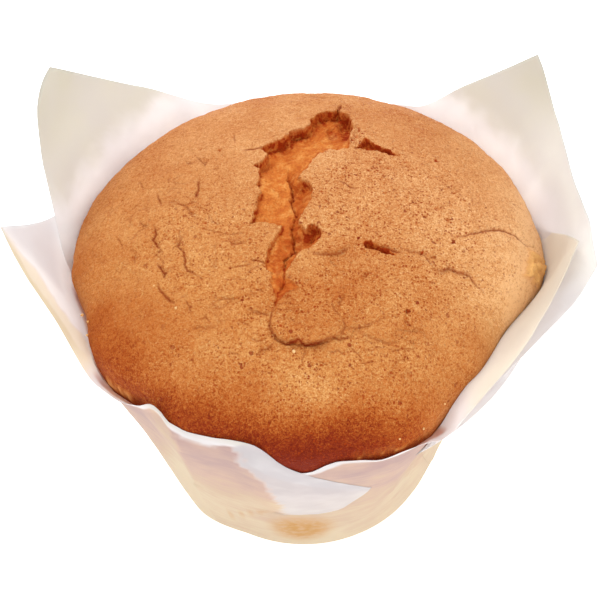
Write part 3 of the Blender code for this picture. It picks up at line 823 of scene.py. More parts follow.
@dataclass
class Cake:
    """The baked cake: crust, torn split, branching crack, curled lip, wrinkles and pores."""

    form: CakeForm
    finish: CrustFinish
    noise: Noise
    cells: int = 236
    crowding: float = 0.25
    fine_margin: float = 0.7
    rings: tuple[float, ...] = (55.2, 54.2, 53.0, 51.4, 49.0, 45.0, 38.0, 28.0, 16.0, 6.0, 2.4)
    bottom: float = 0.9
    bottom_corner: float = 3.0
    split_rim: Path = (
        (6.2, 32.4), (6.6, 30.8), (7.9, 30.2), (8.6, 28.7), (9.1, 26.4), (9.3, 25.1), (8.5, 23.7), (8.3, 21.8),
        (8.6, 20.4), (7.9, 18.9), (6.2, 18.5), (4.6, 18.2), (3.1, 17.3), (2, 16.2), (1.5, 15.3), (1.1, 14.3),
        (0.4, 12.9), (-0.4, 11.9), (-0.9, 10.8), (-0.2, 10.3), (0.7, 9.8), (1.3, 8.8), (1.8, 8), (1.4, 6.7),
        (1.3, 5.3), (0.7, 4.3), (0.2, 2.8), (-0.5, 1.6), (-0.9, 0.4), (-0.7, -0.5), (-0.2, -1.2), (0.5, -1.7),
        (0.9, -0.5), (1.6, -0.7), (2.3, -1), (3, -1.9), (3, -3.4), (2.5, -4.4), (1.8, -5.3), (1.4, -6), (0.7, -6.6),
        (-0.4, -7), (-1.1, -7.6), (-1.6, -8.5), (-2.1, -9.4), (-2.6, -10.2), (-3, -11.3), (-3.1, -12.4), (-2.3, -13),
        (-1.4, -13.9), (-1, -14.7), (-1.7, -15.4), (-2.8, -15.7), (-3.5, -16.5), (-4, -17.3), (-4.5, -18.1),
        (-4.8, -18.9), (-5.2, -18.5), (-5, -17.1), (-5.4, -15.6), (-5.7, -14.6), (-6.1, -13.4), (-5.9, -12.1),
        (-6.3, -11), (-7, -10.1), (-7.2, -9), (-6.7, -7.7), (-6.3, -6.4), (-6, -5.3), (-5.7, -4.1), (-5.1, -3),
        (-4.4, -2.1), (-4.1, -1.2), (-4.8, -0.9), (-6, -0.4), (-7.5, -0.1), (-8.7, -0.5), (-9.8, -0.5), (-9.1, 0.7),
        (-9.1, 2.1), (-8.6, 4), (-8.3, 5.7), (-7.9, 7.2), (-8.3, 8.2), (-8.7, 9), (-8.3, 10), (-8.3, 11.3),
        (-8.5, 12.4), (-8.2, 13.5), (-9.5, 14.1), (-8.6, 15.1), (-7.5, 15.6), (-6.9, 17), (-7.7, 18.2), (-8.6, 18.8),
        (-7.5, 19.6), (-6.6, 20.4), (-5.2, 21.2), (-4.2, 22.1), (-3.1, 23), (-2.8, 24.2), (-1.3, 24.8), (0, 25.1),
        (0.9, 26.4), (1.5, 28.5), (2.6, 29.9), (3.9, 30.7), (5.1, 30.4), (5.8, 31.2),
    )
    back_wall: Path = (
        (-8.6, 15.5), (-10.1, 18.6), (-7.5, 19.6), (-5.2, 21.2), (-3.1, 23), (-2.6, 24.5), (0, 25.1), (1.5, 28.5),
        (3.9, 30.7), (5.8, 31.2), (7.9, 30.2), (9.1, 26.4), (8.6, 24),
    )
    front_rim: Path = ((-1.3, 10.6), (0.4, 12.9), (2.0, 16.2), (4.6, 18.2), (7.9, 18.9), (8.6, 21.4))
    crevice: Path = (
        (-3.1, 11.3), (-2.4, 9.3), (-2.3, 6.7), (-2.2, 5), (-1.6, 3.5), (-1.3, 2), (-2.1, -0.2), (-2.1, -1.9),
        (-1.8, -3.7), (-1.6, -5.6), (-2.5, -6.9), (-3.4, -7.8), (-3.5, -10.2), (-3.5, -13), (-4.2, -14.5),
        (-4.9, -18.4),
    )
    # y, how deep the lower part of the split is there, as a share
    fading: Path = ((-19.0, 0.15), (-15.0, 0.5), (-10.0, 0.85), (-5.0, 1.0))
    # depth and outline of the branching crack and of the small hole
    tears: tuple[tuple[float, Path], ...] = (
        (1.5, (
            (8.5, 19.2), (9.9, 19.4), (10.8, 21.2), (11.5, 22.5), (12.3, 21.3), (13.4, 20.4), (14.6, 19.6),
            (15.9, 18.8), (17.8, 17.1), (15.7, 17.5), (14.5, 17.9), (13.2, 18.5), (12.1, 18.7), (10.6, 18.5),
        )),
        (1.3, (
            (10.2, -5), (10.9, -4.1), (11.8, -4.1), (12.4, -4.8), (13.4, -5.2), (14.4, -5.6), (15.6, -6.5),
            (16.2, -7.2), (14.8, -7.1), (13.8, -6.8), (13, -6.6), (12.4, -6.3), (11.4, -6.2), (10.6, -5.9),
        )),
    )
    lip_edge: Path = (
        (-5, -18.3), (-5.5, -19.7), (-5.9, -21.2), (-5.9, -22.6), (-5.5, -23.8), (-4.7, -24.8), (-3.6, -25.5),
        (-2.4, -25.8), (-1.1, -25.8), (0.4, -26), (1.8, -25.9), (3.2, -25.4), (4.3, -24.8), (5.3, -24.6), (6.2, -24.9),
        (7, -24.6), (8.2, -24.5),
    )
    lip_back: Path = ((10.0, -18.0), (4.5, -13.0), (0.0, -12.5), (-1.6, -14.8), (-3.5, -16.4))
    swellings: tuple[tuple[float, float, float, float], ...] = (
        (-22, 6, 9, 0.5), (-24, -12, 10, 0.4), (5, -7, 6, 0.5), (20, -8, 9, 0.5), (33, 0, 7, 0.45), (14, 8, 12, 0.4),
        (-2, -34, 10, 0.3),
    )
    # azimuth, how strongly the crust browns towards the edge there
    browning: Path = (
        (0, -0.62), (25, -0.28), (50, 0.02), (90, 0.1), (135, 0.14), (170, 0.1), (195, 0.2), (210, 0.56), (222, 0.56),
        (240, 0.66), (256, 0.78), (268, 1), (280, 0.86), (292, 0.58), (300, 0.32), (310, 0.14), (325, 0.05),
        (335, -0.2), (350, -0.5), (360, -0.6),
    )
    # share of the way to the widest ring, how far the browning has come there
    onset: Path = (
        (0.6, 0), (0.7, 0.04), (0.79, 0.12), (0.85, 0.26), (0.89, 0.45), (0.93, 0.66), (0.96, 0.82), (1, 1),
    )
    # x, y, radius and toast of places that are paler or browner than the rest
    toasting: tuple[tuple[float, float, float, float], ...] = (
        (0, -18, 11, 0.1), (-12, 4, 12, 0.04), (14, 26, 16, 0.05), (31, -2, 22, -0.08), (0, -35, 9, -0.12),
        (13, -11, 14, 0.05), (-26, -22, 12, 0.06),
    )
    plain_toast: float = 0.28
    # azimuth, half width, lowest and highest place, paleness, depth of the frayed edges
    frays: tuple[tuple[float, float, float, float, float, float], ...] = (
        (-4, 5.2, 57.2, 60.8, 0.8, 0.6), (287, 7.5, 55.6, 56, 0.15, 0.1), (217, 5, 50, 53.5, 0.4, 0.3),
    )
    side_calm: float = 0.15
    # Hollows of the split's back wall
    hollows: tuple[Patch, ...] = (
        Patch(0.9, (5.4, 25.3), (1.8, 2.8)), Patch(0.8, (7.7, 27.4), (1.8, 3.0)), Patch(0.7, (-1.5, 24.6), (1.6, 1.2)),
    )
    # Lobes of the split's right wall, and the scorched, the greenish and the pale crumb at its top
    lobes: tuple[Patch, ...] = (Patch(1.0, (0.7, 9.4), (1.9, 2.0)), Patch(1.0, (1.5, -1.9), (2.4, 2.4)))
    top_corner: Patch = Patch(0.72, (7.6, 27.0), (3.0, 5.0))
    green_crumb: Patch = Patch(0.62, (5.5, 25.4), (2.4, 3.6))
    pale_crumb: Patch = Patch(0.30, (5.4, 24.6), (1.2, 2.2))
    # share of the lip's edge, how strongly it curls there
    curl: Path = ((0.0, 0.35), (0.12, 0.5), (0.3, 0.8), (0.45, 1.0), (0.72, 1.0), (0.85, 0.5), (1.0, 0.2))
    # Where the crust has settled into lobes and lumps, and where it is wrinkled across and sideways
    settled: Patch = Patch(0.30, (-20.0, -4.0), (22.0, 26.0))
    lumpy: Patch = Patch(0.14, (-16.0, -8.0), (26.0, 24.0))
    wrinkled_across: tuple[Patch, ...] = (
        Patch(1.0, (-12.0, -15.0), (17.0, 14.0)), Patch(0.7, (12.0, -24.0), (18.0, 12.0)),
    )
    wrinkled_sideways: Patch = Patch(1.0, (-24.0, 0.0), (20.0, 26.0))
    # How deep the split is: its back wall, the share by which the floor rises before it, the shelf at its rim
    # and further in, the climbing right wall at its rim, further in and in its lobes, and the crevice
    back_depth: float = 2.3
    floor_rise: float = 0.86
    shelf_depth: tuple[float, float] = (1.1, 0.7)
    climb_depth: tuple[float, float, float] = (0.9, 1.5, 0.8)
    crevice_depth: float = 0.6
    # How dark the scorch and the painted shade are: scorch and painted shade on the torn rim at its left and right
    # and on the back wall, scorch before it, painted shade in the crevice, on the shelf's lower end and on the right
    # wall, more scorch in its lobes, and scorch and painted shade in a tear's rim and floor
    rim_scorch_and_shade: tuple[float, float] = (0.85, 0.55)
    back_wall_scorch_and_shade: float = 0.92
    blush: float = 0.55
    seam_painted_shade: float = 0.8
    shelf_painted_shade: float = 0.52
    climb_shade_and_scorch: tuple[float, float] = (0.50, 0.45)
    tear_scorch_and_shade: tuple[float, float] = (0.95, 0.85)
    # The lip: how high it stands, how far it leans over, and how deep the crust dips before it
    lip_height: float = 1.2
    lip_lean: float = 0.75
    lip_dip: float = 0.35
    # Waves of the crust, of the torn crumb and of the jagged edges: height, width
    long_wave: tuple[float, float] = (0.30, 9.0)
    lobe_wave: tuple[float, float] = (0.18, 4.5)
    lump_wave: tuple[float, float] = (0.05, 2.4)
    fine_wave: tuple[float, float] = (0.10, 1.6)
    crumb_wave: tuple[float, float] = (0.18, 1.4)
    toast_wave: tuple[float, float] = (0.05, 12.0)
    jags: tuple[tuple[float, float], ...] = ((0.30, 1.3), (0.16, 0.5))
    wrinkle_rise: float = 0.34
    wrinkle_sink: float = 0.18
    # Where the pores are open
    porous: tuple[Patch, ...] = (
        Patch(0.95, (14.0, -2.0), (34.0, 34.0)), Patch(1.0, (-2.0, -16.0), (20.0, 20.0)),
        Patch(0.8, (-16.0, -4.0), (19.0, 24.0)), Patch(1.2, (9.8, 22.0), (2.5, 4.5)),
    )
    least_porous: float = 0.34

    def build(self) -> bpy.types.Object:
        """Build and dress the cake.

        Returns:
            The piece, which stands for the solid of the cake.
        """
        mesh = finished_mesh(self.shell(), "sponge_cake_crust")
        points = np.zeros(len(mesh.vertices) * 3)
        mesh.vertices.foreach_get("co", points)
        placed, masks, fields = self.relief(points.reshape(-1, 3))
        mesh.vertices.foreach_set("co", (placed * MM).ravel())
        mesh.update()
        for mask, values in masks.items():
            attribute = mesh.attributes.new(mask.value, "FLOAT", "POINT")
            attribute.data.foreach_set("value", np.clip(values, 0.0, 1.0).astype(np.float32))
        for name, rows in fields.items():
            attribute = mesh.attributes.new(name, "FLOAT_VECTOR", "POINT")
            attribute.data.foreach_set("vector", rows.astype(np.float32).ravel())
        piece = make_piece("baked_cake", mesh, self.finish.material())
        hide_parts("sponge_cake")
        return piece

    def shell(self) -> bmesh.types.BMesh:
        """Shape the plain cake: a flat top that carries its plan, and rings down its side.

        Returns:
            The shell in millimetres, its top flat at the widest ring.
        """
        form = self.form
        bm = bmesh.new()
        bmesh.ops.create_grid(bm, x_segments=self.cells, y_segments=self.cells, size=1.0)
        for vert in bm.verts:
            azimuth, reach = self.to_disc(vert.co.x, vert.co.y)
            vert.co = form.place(azimuth, reach * form.side_radius(azimuth, form.equator), form.equator)
        plan = np.array([vert.co[:] for vert in bm.verts])
        near = self.near_split(plan[:, 0], plan[:, 1])
        bm.verts.index_update()
        fine = [edge for edge in bm.edges if all(near[vert.index] for vert in edge.verts)]
        bmesh.ops.subdivide_edges(bm, edges=fine, cuts=1, use_grid_fill=True)
        for height, inset in [(ring, 0.0) for ring in self.rings] + [(self.bottom, self.bottom_corner)]:
            edges = [edge for edge in bm.edges if edge.is_boundary]
            ring = bmesh.ops.extrude_edge_only(bm, edges=edges)["geom"]
            for vert in (item for item in ring if isinstance(item, bmesh.types.BMVert)):
                azimuth = form.azimuth_of(*vert.co)
                vert.co = form.place(azimuth, form.side_radius(azimuth, height) - inset, height)
        bmesh.ops.contextual_create(bm, geom=[edge for edge in bm.edges if edge.is_boundary])
        bmesh.ops.recalc_face_normals(bm, faces=bm.faces[:])
        return bm

    def to_disc(self, a: float, b: float) -> tuple[float, float]:
        """Turn a place in the square from -1 to 1 into one in the disc.

        Args:
            a: First coordinate in the square.
            b: Second coordinate in the square.

        Returns:
            The azimuth, and the share of the disc's radius.
        """
        if a == 0.0 and b == 0.0:
            return 0.0, 0.0
        if abs(a) >= abs(b):
            reach, azimuth = abs(a), 45.0 * b / a + (180.0 if a < 0.0 else 0.0)
        else:
            reach, azimuth = abs(b), 90.0 - 45.0 * a / b + (180.0 if b < 0.0 else 0.0)
        return azimuth, mix(reach, math.sin(reach * math.pi / 2.0), self.crowding)

    def near_split(self, x: np.ndarray, y: np.ndarray) -> np.ndarray:
        """Tell which places of the plan need finer faces.

        Args:
            x: X of each place.
            y: Y of each place.

        Returns:
            True where the split, a tear, a crease or the lip's edge is close.
        """
        near = along_path(self.lip_edge, x, y).gap < 1.5 * self.fine_margin
        for outline in (self.split_rim, *(outline for _depth, outline in self.tears)):
            near |= inside(outline, x, y) | (rim_gap(outline, x, y) < self.fine_margin)
        for crease in CREASES:
            near |= along_path(crease.path, x, y).gap < self.fine_margin
        return near

    def relief(self, points: np.ndarray) -> tuple[np.ndarray, Masks, dict[str, np.ndarray]]:
        """Raise the top, roughen the whole cake and work out its masks.

        Args:
            points: The plain shell, whose top is flat.

        Returns:
            The finished points, the masks, and the fields that draw the thin lines.
        """
        form = self.form
        x, y, height = points.T
        on_top = height > self.rings[0] + 0.1
        azimuth = form.azimuth_of(x, y, height)
        reach = np.hypot(x - form.middle_x(height), y) / form.side_radius(azimuth, form.equator)
        reach = np.where(on_top, np.minimum(1.0, reach), 1.0)
        height = np.where(on_top, form.dome(reach), height)
        base = np.stack([x, y, height], axis=1)
        live = smooth(2.0, 8.0, height) * mix(self.side_calm, 1.0, smooth(52.0, 57.0, height))

        # Jagged edges: the plan is read through small waves
        ragged_x, ragged_y = (
            values + sum(self.wave(base + move, jag) for move, jag in zip(moves, self.jags))
            for values, moves in ((x, (0.0, 31.0)), (y, (57.0, 83.0)))
        )
        split, masks = self.split(base, ragged_x, ragged_y, on_top)
        lip, shift = self.lip(x + 0.2 * self.noise.at(base + 5.0, 1.4), y, on_top)
        groove, painted_shade_lines = self.creases(mix(x, ragged_x, 0.5), mix(y, ragged_y, 0.5), on_top)
        pits, pricks = self.pits(ragged_x, ragged_y, on_top)
        wrinkles, folds = self.wrinkles(base)
        masks[Mask.SCORCH_AND_SHADE] = np.maximum(masks[Mask.SCORCH_AND_SHADE], pricks)

        crust = 1.0 - masks[Mask.TORN]
        push = self.wave(base, self.long_wave) + self.wave(base + 11.0, self.lobe_wave, more=self.settled.at(x, y))
        push += self.wave(base + 17.0, self.lump_wave, more=self.lumpy.at(x, y))
        push += crust * (self.wave(base + 23.0, self.fine_wave, 2) + wrinkles - groove - pits)
        push += masks[Mask.TORN] * self.wave(base + 41.0, self.crumb_wave, 3)
        push = push * live - 0.1 * smooth(56.0, 53.0, height)
        for centre_x, centre_y, radius, rise in self.swellings:
            swelling = rise * smooth(radius, 0.0, np.hypot(x - centre_x, y - centre_y))
            height = height + np.where(on_top, swelling * smooth(1.0, 0.8, reach), 0.0)

        push = push + self.frays_on(base, azimuth, masks)
        placed = np.stack([x, y + shift, height + lip - split], axis=1)
        placed += form.dome_normals(azimuth, reach) * push[:, None]
        placed[:, 2] = np.maximum(placed[:, 2], self.bottom)

        wander = self.wave(base + 71.0, self.toast_wave, 2)
        browning = read_off(self.browning, azimuth) * read_off(self.onset, reach + 0.3 * wander)
        toast = self.plain_toast + wander + (1.0 - self.plain_toast) * browning
        for centre_x, centre_y, radius, more in self.toasting:
            toast = toast + more * smooth(radius, 0.2 * radius, np.hypot(x - centre_x, y - centre_y))
        masks[Mask.BROWNING] = toast
        # Warmer, darker crust towards the front and left
        masks[Mask.WARM] = smooth(26.0, -26.0, y + 0.35 * x)
        masks[Mask.PORES] = self.porosity(base, reach)
        return placed, masks, {CREASE_FIELD: painted_shade_lines, WRINKLE_FIELD: folds}

    def wave(self, points: np.ndarray, kind: tuple[float, float], layers: int = 1, more: Any = 0.0) -> np.ndarray:
        """Read noise of a height and a width.

        Args:
            points: Where to read it.
            kind: Its height and width.
            layers: How many times waves of half the width and height are added.
            more: How much higher it is at each point.

        Returns:
            The wave at each point.
        """
        return (kind[0] + more) * self.noise.at(points, kind[1], layers)

    def split(self, base: np.ndarray, x: np.ndarray, y: np.ndarray, on_top: np.ndarray) -> tuple[np.ndarray, Masks]:
        """Tear the split, the branching crack and the small hole open.

        Args:
            base: The plain points.
            x: Ragged X of each point.
            y: Ragged Y of each point.
            on_top: True for the points of the top.

        Returns:
            How deep the crust is torn at each point, and the masks of the crumb that it bares.
        """
        within = inside(self.split_rim, x, y) & on_top
        rim = np.where(within, rim_gap(self.split_rim, x, y), 0.0)
        back, front, gap = (along_path(path, x, y).gap for path in (self.back_wall, self.front_rim, self.crevice))
        left = x < read_off(tuple(sorted((b, a) for a, b in self.crevice)), y)
        upper = smooth(11.0, 15.5, y)
        wave, streak = self.noise.at(base + 3.0, 3.0, 2), self.noise.at(base + 61.0, np.array([0.9, 2.2, 2.0]), 3)

        # Upper part: a steep torn wall at the back, and a floor that rises to the front rim
        across = back / (back + front + 0.01)
        high = self.back_depth * smooth(0.0, 0.50, rim) * (1.0 - self.floor_rise * smooth(0.20, 1.0, across))
        high += sum(hollow.at(x, y) for hollow in self.hollows) + 0.35 * wave
        # Lower part: a bulging shelf on the left, a narrow crevice, and a wall that climbs to the right
        at_rim, further_in = self.shelf_depth
        shelf = at_rim * smooth(0.0, 0.30, rim) + further_in * smooth(0.5, 3.6, rim)
        lobes = np.maximum.reduce([lobe.at(x, y) for lobe in self.lobes])
        at_rim, further_in, in_lobes = self.climb_depth
        climb = at_rim * smooth(0.0, 0.30, rim) + further_in * smooth(0.3, 2.4, rim)
        climb += in_lobes * lobes * smooth(0.0, 0.5, rim)
        low = np.where(left, shelf, climb) + 0.25 * wave + self.crevice_depth * smooth(0.45, 0.0, gap)
        low = low * read_off(self.fading, base[:, 1])
        depth = np.where(within, mix(low, high, upper) * smooth(0.0, 0.25, rim), 0.0)
        torn = np.where(within, smooth(0.0, 0.22, rim), 0.0)

        # Scorch and painted shade: the torn rim all round, then the walls above, and painted shade in the seam and
        # on the shaded side below
        edge = smooth(0.80, 0.10, rim + 0.35 * streak) * np.where(left, *self.rim_scorch_and_shade)
        wall = self.back_wall_scorch_and_shade * smooth(3.4, -0.2, back + 1.8 * streak)
        blush = self.blush * smooth(6.0, 0.5, back + 1.8 * streak)
        corner, green = self.top_corner.at(x + 0.9 * streak, y), self.green_crumb.at(x, y)
        seam = self.seam_painted_shade * smooth(0.40, 0.08, gap + 0.1 * streak)
        plain, more = self.climb_shade_and_scorch
        right = plain + more * smooth(0.1, 0.9, lobes + 0.35 * streak) * smooth(2.4, 0.6, rim)
        shade = np.where(left, self.shelf_painted_shade * smooth(3.0, -4.0, y) * smooth(0.2, 1.4, rim), right)
        walls = mix(np.maximum(seam, shade), np.maximum.reduce([wall, blush, corner, green]), upper)
        scorch_and_shade = np.where(within, np.maximum(edge, walls) + 0.12 * wave, 0.0) * torn
        for deepest, outline in self.tears:
            hole = np.where(inside(outline, x, y) & on_top, rim_gap(outline, x, y), 0.0)
            depth = np.maximum(depth, deepest * smooth(0.0, 0.6, hole))
            torn = np.maximum(torn, smooth(0.0, 0.15, hole))
            scorch_and_shade = np.maximum(scorch_and_shade, mix(*self.tear_scorch_and_shade, smooth(0.3, 0.9, hole)) * smooth(0.0, 0.15, hole))
        return depth, {Mask.TORN: torn, Mask.SCORCH_AND_SHADE: scorch_and_shade, Mask.PALE: self.pale_crumb.at(x, y) * within}

    def lip(self, x: np.ndarray, y: np.ndarray, on_top: np.ndarray) -> tuple[np.ndarray, np.ndarray]:
        """Curl the lip of crust over the lower end of the split.

        Args:
            x: X of each point.
            y: Y of each point.
            on_top: True for the points of the top.

        Returns:
            How high the lip stands, and how far it leans over.
        """
        edge = along_path(self.lip_edge, x, y)
        within = inside(self.lip_edge + self.lip_back, x, y) & on_top
        strength = read_off(self.curl, edge.along)
        raised = smooth(0.0, 0.40, edge.gap) * smooth(7.5, 1.5, edge.gap)
        roll = smooth(0.0, 0.35, edge.gap) * smooth(1.8, 0.4, edge.gap)
        dip = self.lip_dip * strength * smooth(0.7, 0.0, edge.gap) * on_top
        rise = np.where(within, self.lip_height * strength * raised, -dip)
        return rise, np.where(within, -self.lip_lean * strength * roll, 0.0)

    def creases(self, x: np.ndarray, y: np.ndarray, on_top: np.ndarray) -> tuple[np.ndarray, np.ndarray]:
        """Press the single wrinkles and cracks into the crust, each with its back left side raised.

        Args:
            x: Slightly ragged X of each point.
            y: Slightly ragged Y of each point.
            on_top: True for the points of the top.

        Returns:
            Their depth, and the field that draws the painted shade in their bottoms: the way to the nearest one in half
            widths, and the darkness of that painted shade.
        """
        depth, nearest = np.zeros(len(x)), np.full(len(x), np.inf)
        field_rows = np.zeros((len(x), 3))
        for crease in CREASES:
            near = along_path(crease.path, x, y)
            taper = 0.35 + 0.65 * smooth(0.0, 0.25, near.along) * smooth(1.0, 0.75, near.along)
            groove = np.exp(-((near.gap / (crease.half_width + 0.03)) ** 2))
            facing = (0.85 * near.away_y - 0.5 * near.away_x) / np.maximum(near.gap, 0.35)
            depth += taper * (0.75 * crease.depth * groove - crease.ridge * facing * np.exp(-((near.gap / 1.3) ** 2)))
            row = np.stack([near.away_x, near.away_y, np.zeros(len(x))], axis=1) / crease.half_width
            row[:, 2] = crease.tone * taper * on_top * smooth(1.1, 0.7, near.gap)
            scaled = near.gap / crease.half_width
            field_rows = np.where((scaled < nearest)[:, None], row, field_rows)
            nearest = np.minimum(nearest, scaled)
        field_rows[:, :2] = np.clip(field_rows[:, :2], -9.0, 9.0)
        return np.where(on_top, depth, 0.0), field_rows

    def pits(self, x: np.ndarray, y: np.ndarray, on_top: np.ndarray) -> tuple[np.ndarray, np.ndarray]:
        """Prick the larger pores.

        Args:
            x: Ragged X of each point.
            y: Ragged Y of each point.
            on_top: True for the points of the top.

        Returns:
            Their depth and their darkness at each point.
        """
        depth, tone = np.zeros(len(x)), np.zeros(len(x))
        for centre_x, centre_y, radius in PITS:
            gap = np.hypot(x - centre_x, (y - centre_y) * 1.2) / radius
            depth += 0.9 * radius * smooth(1.2, 0.2, gap)
            tone = np.maximum(tone, 0.85 * smooth(1.0, 0.45, gap))
        return depth * on_top, tone * on_top

    def wrinkles(self, base: np.ndarray) -> tuple[np.ndarray, np.ndarray]:
        """Wrinkle the crust where it has settled, most of all left of the split.

        Args:
            base: The plain points.

        Returns:
            Height of the wrinkles, and the field that draws the painted shade in their bottoms: the way to the nearest
            one, and the darkness of that painted shade.
        """
        x, y = base[:, 0], base[:, 1]
        bent = base + 1.2 * np.stack([self.noise.at(base + 7.0, 3.0), self.noise.at(base + 47.0, 3.0), 0.0 * x], axis=1)
        flat = np.maximum.reduce([patch.at(x, y) for patch in self.wrinkled_across])
        left = self.wrinkled_sideways.at(x, y)
        across = self.noise.at(bent, np.array([6.0, 2.2, 3.0])) * 1.8
        folds = self.noise.at(bent + 13.0, np.array([3.4, 4.4, 4.0])) * 2.6
        gap = np.where(flat > left, across, folds)
        region = np.where(flat > left, flat, 0.8 * left) + 0.18
        broken = smooth(0.0, 0.35, self.noise.at(base + 29.0, 4.0, 2))
        strength = np.minimum(1.0, region) * broken * smooth(0.0, 0.12, np.abs(flat - left) + 0.02)
        cushion = self.wrinkle_rise * strength * (1.0 - np.exp(-np.abs(gap) / 0.6)) - self.wrinkle_sink * strength
        return cushion, np.stack([np.clip(gap, -2.0, 2.0), 0.30 * strength, 0.0 * x], axis=1)

    def frays_on(self, base: np.ndarray, azimuth: np.ndarray, masks: Masks) -> np.ndarray:
        """Fray the crust where it tore away from the case.

        Args:
            base: The plain points.
            azimuth: Direction of each point from the middle.
            masks: The masks, which get the frayed crumb added.

        Returns:
            How far the frayed crumb stands out.
        """
        push = np.zeros(len(base))
        wave = self.noise.at(base + 67.0, 1.3, 2)
        for centre, half_width, low, high, pale, depth in self.frays:
            share = smooth(1.0, 0.75, turn_from(azimuth, centre) / half_width + 0.25 * wave)
            share *= smooth(low - 1.0, low, base[:, 2])
            share *= smooth(high + 0.2, high - 0.5, base[:, 2] + 0.8 * wave)
            share *= mix(smooth(-0.3, 0.1, wave), 1.0, pale)
            masks[Mask.TORN] = np.maximum(masks[Mask.TORN], share)
            masks[Mask.PALE] = np.maximum(masks[Mask.PALE], pale * share)
            push += share * depth * (0.7 + 0.8 * wave)
        return push

    def porosity(self, base: np.ndarray, reach: np.ndarray) -> np.ndarray:
        """Work out how open the crust is.

        Args:
            base: The plain points.
            reach: Share of the way to the widest ring.

        Returns:
            1 where pores are thick, 0 where the crust is closed.
        """
        x, y = base[:, 0], base[:, 1]
        front = np.maximum(self.least_porous, 0.85 * smooth(-14.0, -28.0, y))
        open_crust = np.maximum.reduce([front, *(patch.at(x, y) for patch in self.porous)])
        return open_crust * (0.9 + 0.35 * self.noise.at(base + 91.0, 5.0)) * (1.0 - 0.2 * smooth(0.9, 1.0, reach))


# ----------------------------------------
# The case


class Layer(Enum):
    """Which part of the parchment a column belongs to."""

    BACK = "back"
    LEFT = "left"
    FRONT = "front"
    PLEAT = "pleat"


@dataclass(frozen=True)
class Stretch:
    """A stretch of the parchment between two pleats.

    Each station of its edge holds the azimuth, radius, height, lift of the layer, and how much the front
    pleat sets the way the layer turns. Corners are the numbers of the stations where the edge has a point.
    """

    layer: Layer
    foot: tuple[float, float]
    corners: tuple[int, ...]
    edge: tuple[tuple[float, float, float, float, float], ...]

    def at(self, azimuth: np.ndarray) -> np.ndarray:
        """Read the edge, smooth between its corners.

        Args:
            azimuth: Where to read it.

        Returns:
            Radius, height, lift and front share, one row for each azimuth.
        """
        table = np.array(self.edge)
        values = np.zeros((len(azimuth), 4))
        ends = (0, *self.corners, len(table) - 1)
        for start, end in zip(ends, ends[1:]):
            part = table[start : end + 1]
            here = (azimuth >= part[0, 0]) & (azimuth <= part[-1, 0])
            values[here] = self.flowing(part, azimuth[here])
        return values

    @staticmethod
    def flowing(part: np.ndarray, azimuth: np.ndarray) -> np.ndarray:
        """Draw a smooth line through stations without overshooting them.

        Args:
            part: The stations.
            azimuth: Where to read the line.

        Returns:
            One row of values for each azimuth.
        """
        places, heights = part[:, 0], part[:, 1:]
        steps = np.diff(places)[:, None]
        secants = np.diff(heights, axis=0) / steps
        slopes = np.zeros_like(heights)
        slopes[0], slopes[-1] = secants[0], secants[-1]
        if len(secants) > 1:
            before, after = secants[:-1], secants[1:]
            same_way = before * after > 0.0
            total = np.where(same_way, before + after, 1.0)
            slopes[1:-1] = np.where(same_way, 2.0 * before * after / total, 0.0)
        spot = np.clip(np.searchsorted(places, azimuth, side="right") - 1, 0, len(secants) - 1)
        share = ((azimuth - places[spot]) / steps[spot, 0])[:, None]
        rest, width = 1.0 - share, steps[spot]
        line = heights[spot] * (1.0 + 2.0 * share) * rest**2 + slopes[spot] * width * share * rest**2
        line += heights[spot + 1] * (3.0 - 2.0 * share) * share**2
        return line - slopes[spot + 1] * width * share**2 * rest


BACK = Stretch(
    layer=Layer.BACK,
    foot=(-16.0, 161.0),
    corners=(5, 9, 17),
    edge=(
        (-60, 40, 46, 2, 0), (-49, 40.4, 50.5, 2, 0), (-35, 42.3, 54.5, 2, 0), (-24, 45.6, 58.5, 2, 0),
        (-16, 49.6, 62.5, 2, 0), (-12.5, 52.6, 70, 2, 0), (-6, 50.8, 71.5, 2, 0), (9, 49.4, 69.5, 2, 0),
        (24.5, 50.3, 73, 1.5, 0), (35.8, 52.6, 79.7, 1, 0), (42, 50.4, 73.1, 0.8, 0), (49.5, 48.3, 66.2, 0.6, 0),
        (62, 45, 56.7, 0.3, 0), (90, 44.6, 53, 0, 0), (110, 44.6, 55, 0, 0), (131, 47.3, 66, 0, 0),
        (141, 50, 73, 0, 0), (151, 52.6, 81.5, 0, 0), (158, 51.6, 79.5, 0, 0), (166, 48.6, 70.5, 0, 0),
        (169, 46.7, 61.4, 0, 0), (171.8, 45.4, 57.8, 0, 0), (174.7, 44.5, 56, 0, 0), (177.2, 43.4, 53.6, 0, 0),
        (179.5, 42.6, 50.5, 0, 0),
    ),
)
LEFT = Stretch(
    layer=Layer.LEFT,
    foot=(169.0, 258.0),
    corners=(4,),
    edge=(
        (145, 45.8, 51, 2, 0), (158, 46.2, 54, 2, 0), (169, 47.4, 59, 2, 0), (180, 49.2, 67.5, 2, 0),
        (194, 53.4, 81.5, 1.3, 0), (199.5, 50.3, 72, 1.2, 0), (204, 46.6, 61.3, 1, 0), (213, 44, 51.8, 0.6, 0.2),
        (220, 43, 52, 0.4, 0.4), (226, 42.2, 54.2, 0.2, 0.6), (232.5, 42.5, 58.6, 0.2, 0.8), (237.3, 43, 57.4, 0.3, 1),
        (242, 43.4, 56.6, 0.8, 1), (247.5, 43.3, 56.6, 1.4, 1), (252.7, 43.6, 57.4, 1.9, 1), (258.5, 44.2, 58.2, 2, 1),
        (261.6, 44.4, 57, 2, 1), (264, 44.4, 55, 2, 1), (266.1, 44.2, 53.4, 2, 1), (271, 43.4, 50.6, 2, 1),
        (276.5, 42, 47, 2, 1), (282.5, 40.4, 42.6, 2, 1), (288, 38.6, 38, 2, 1),
    ),
)
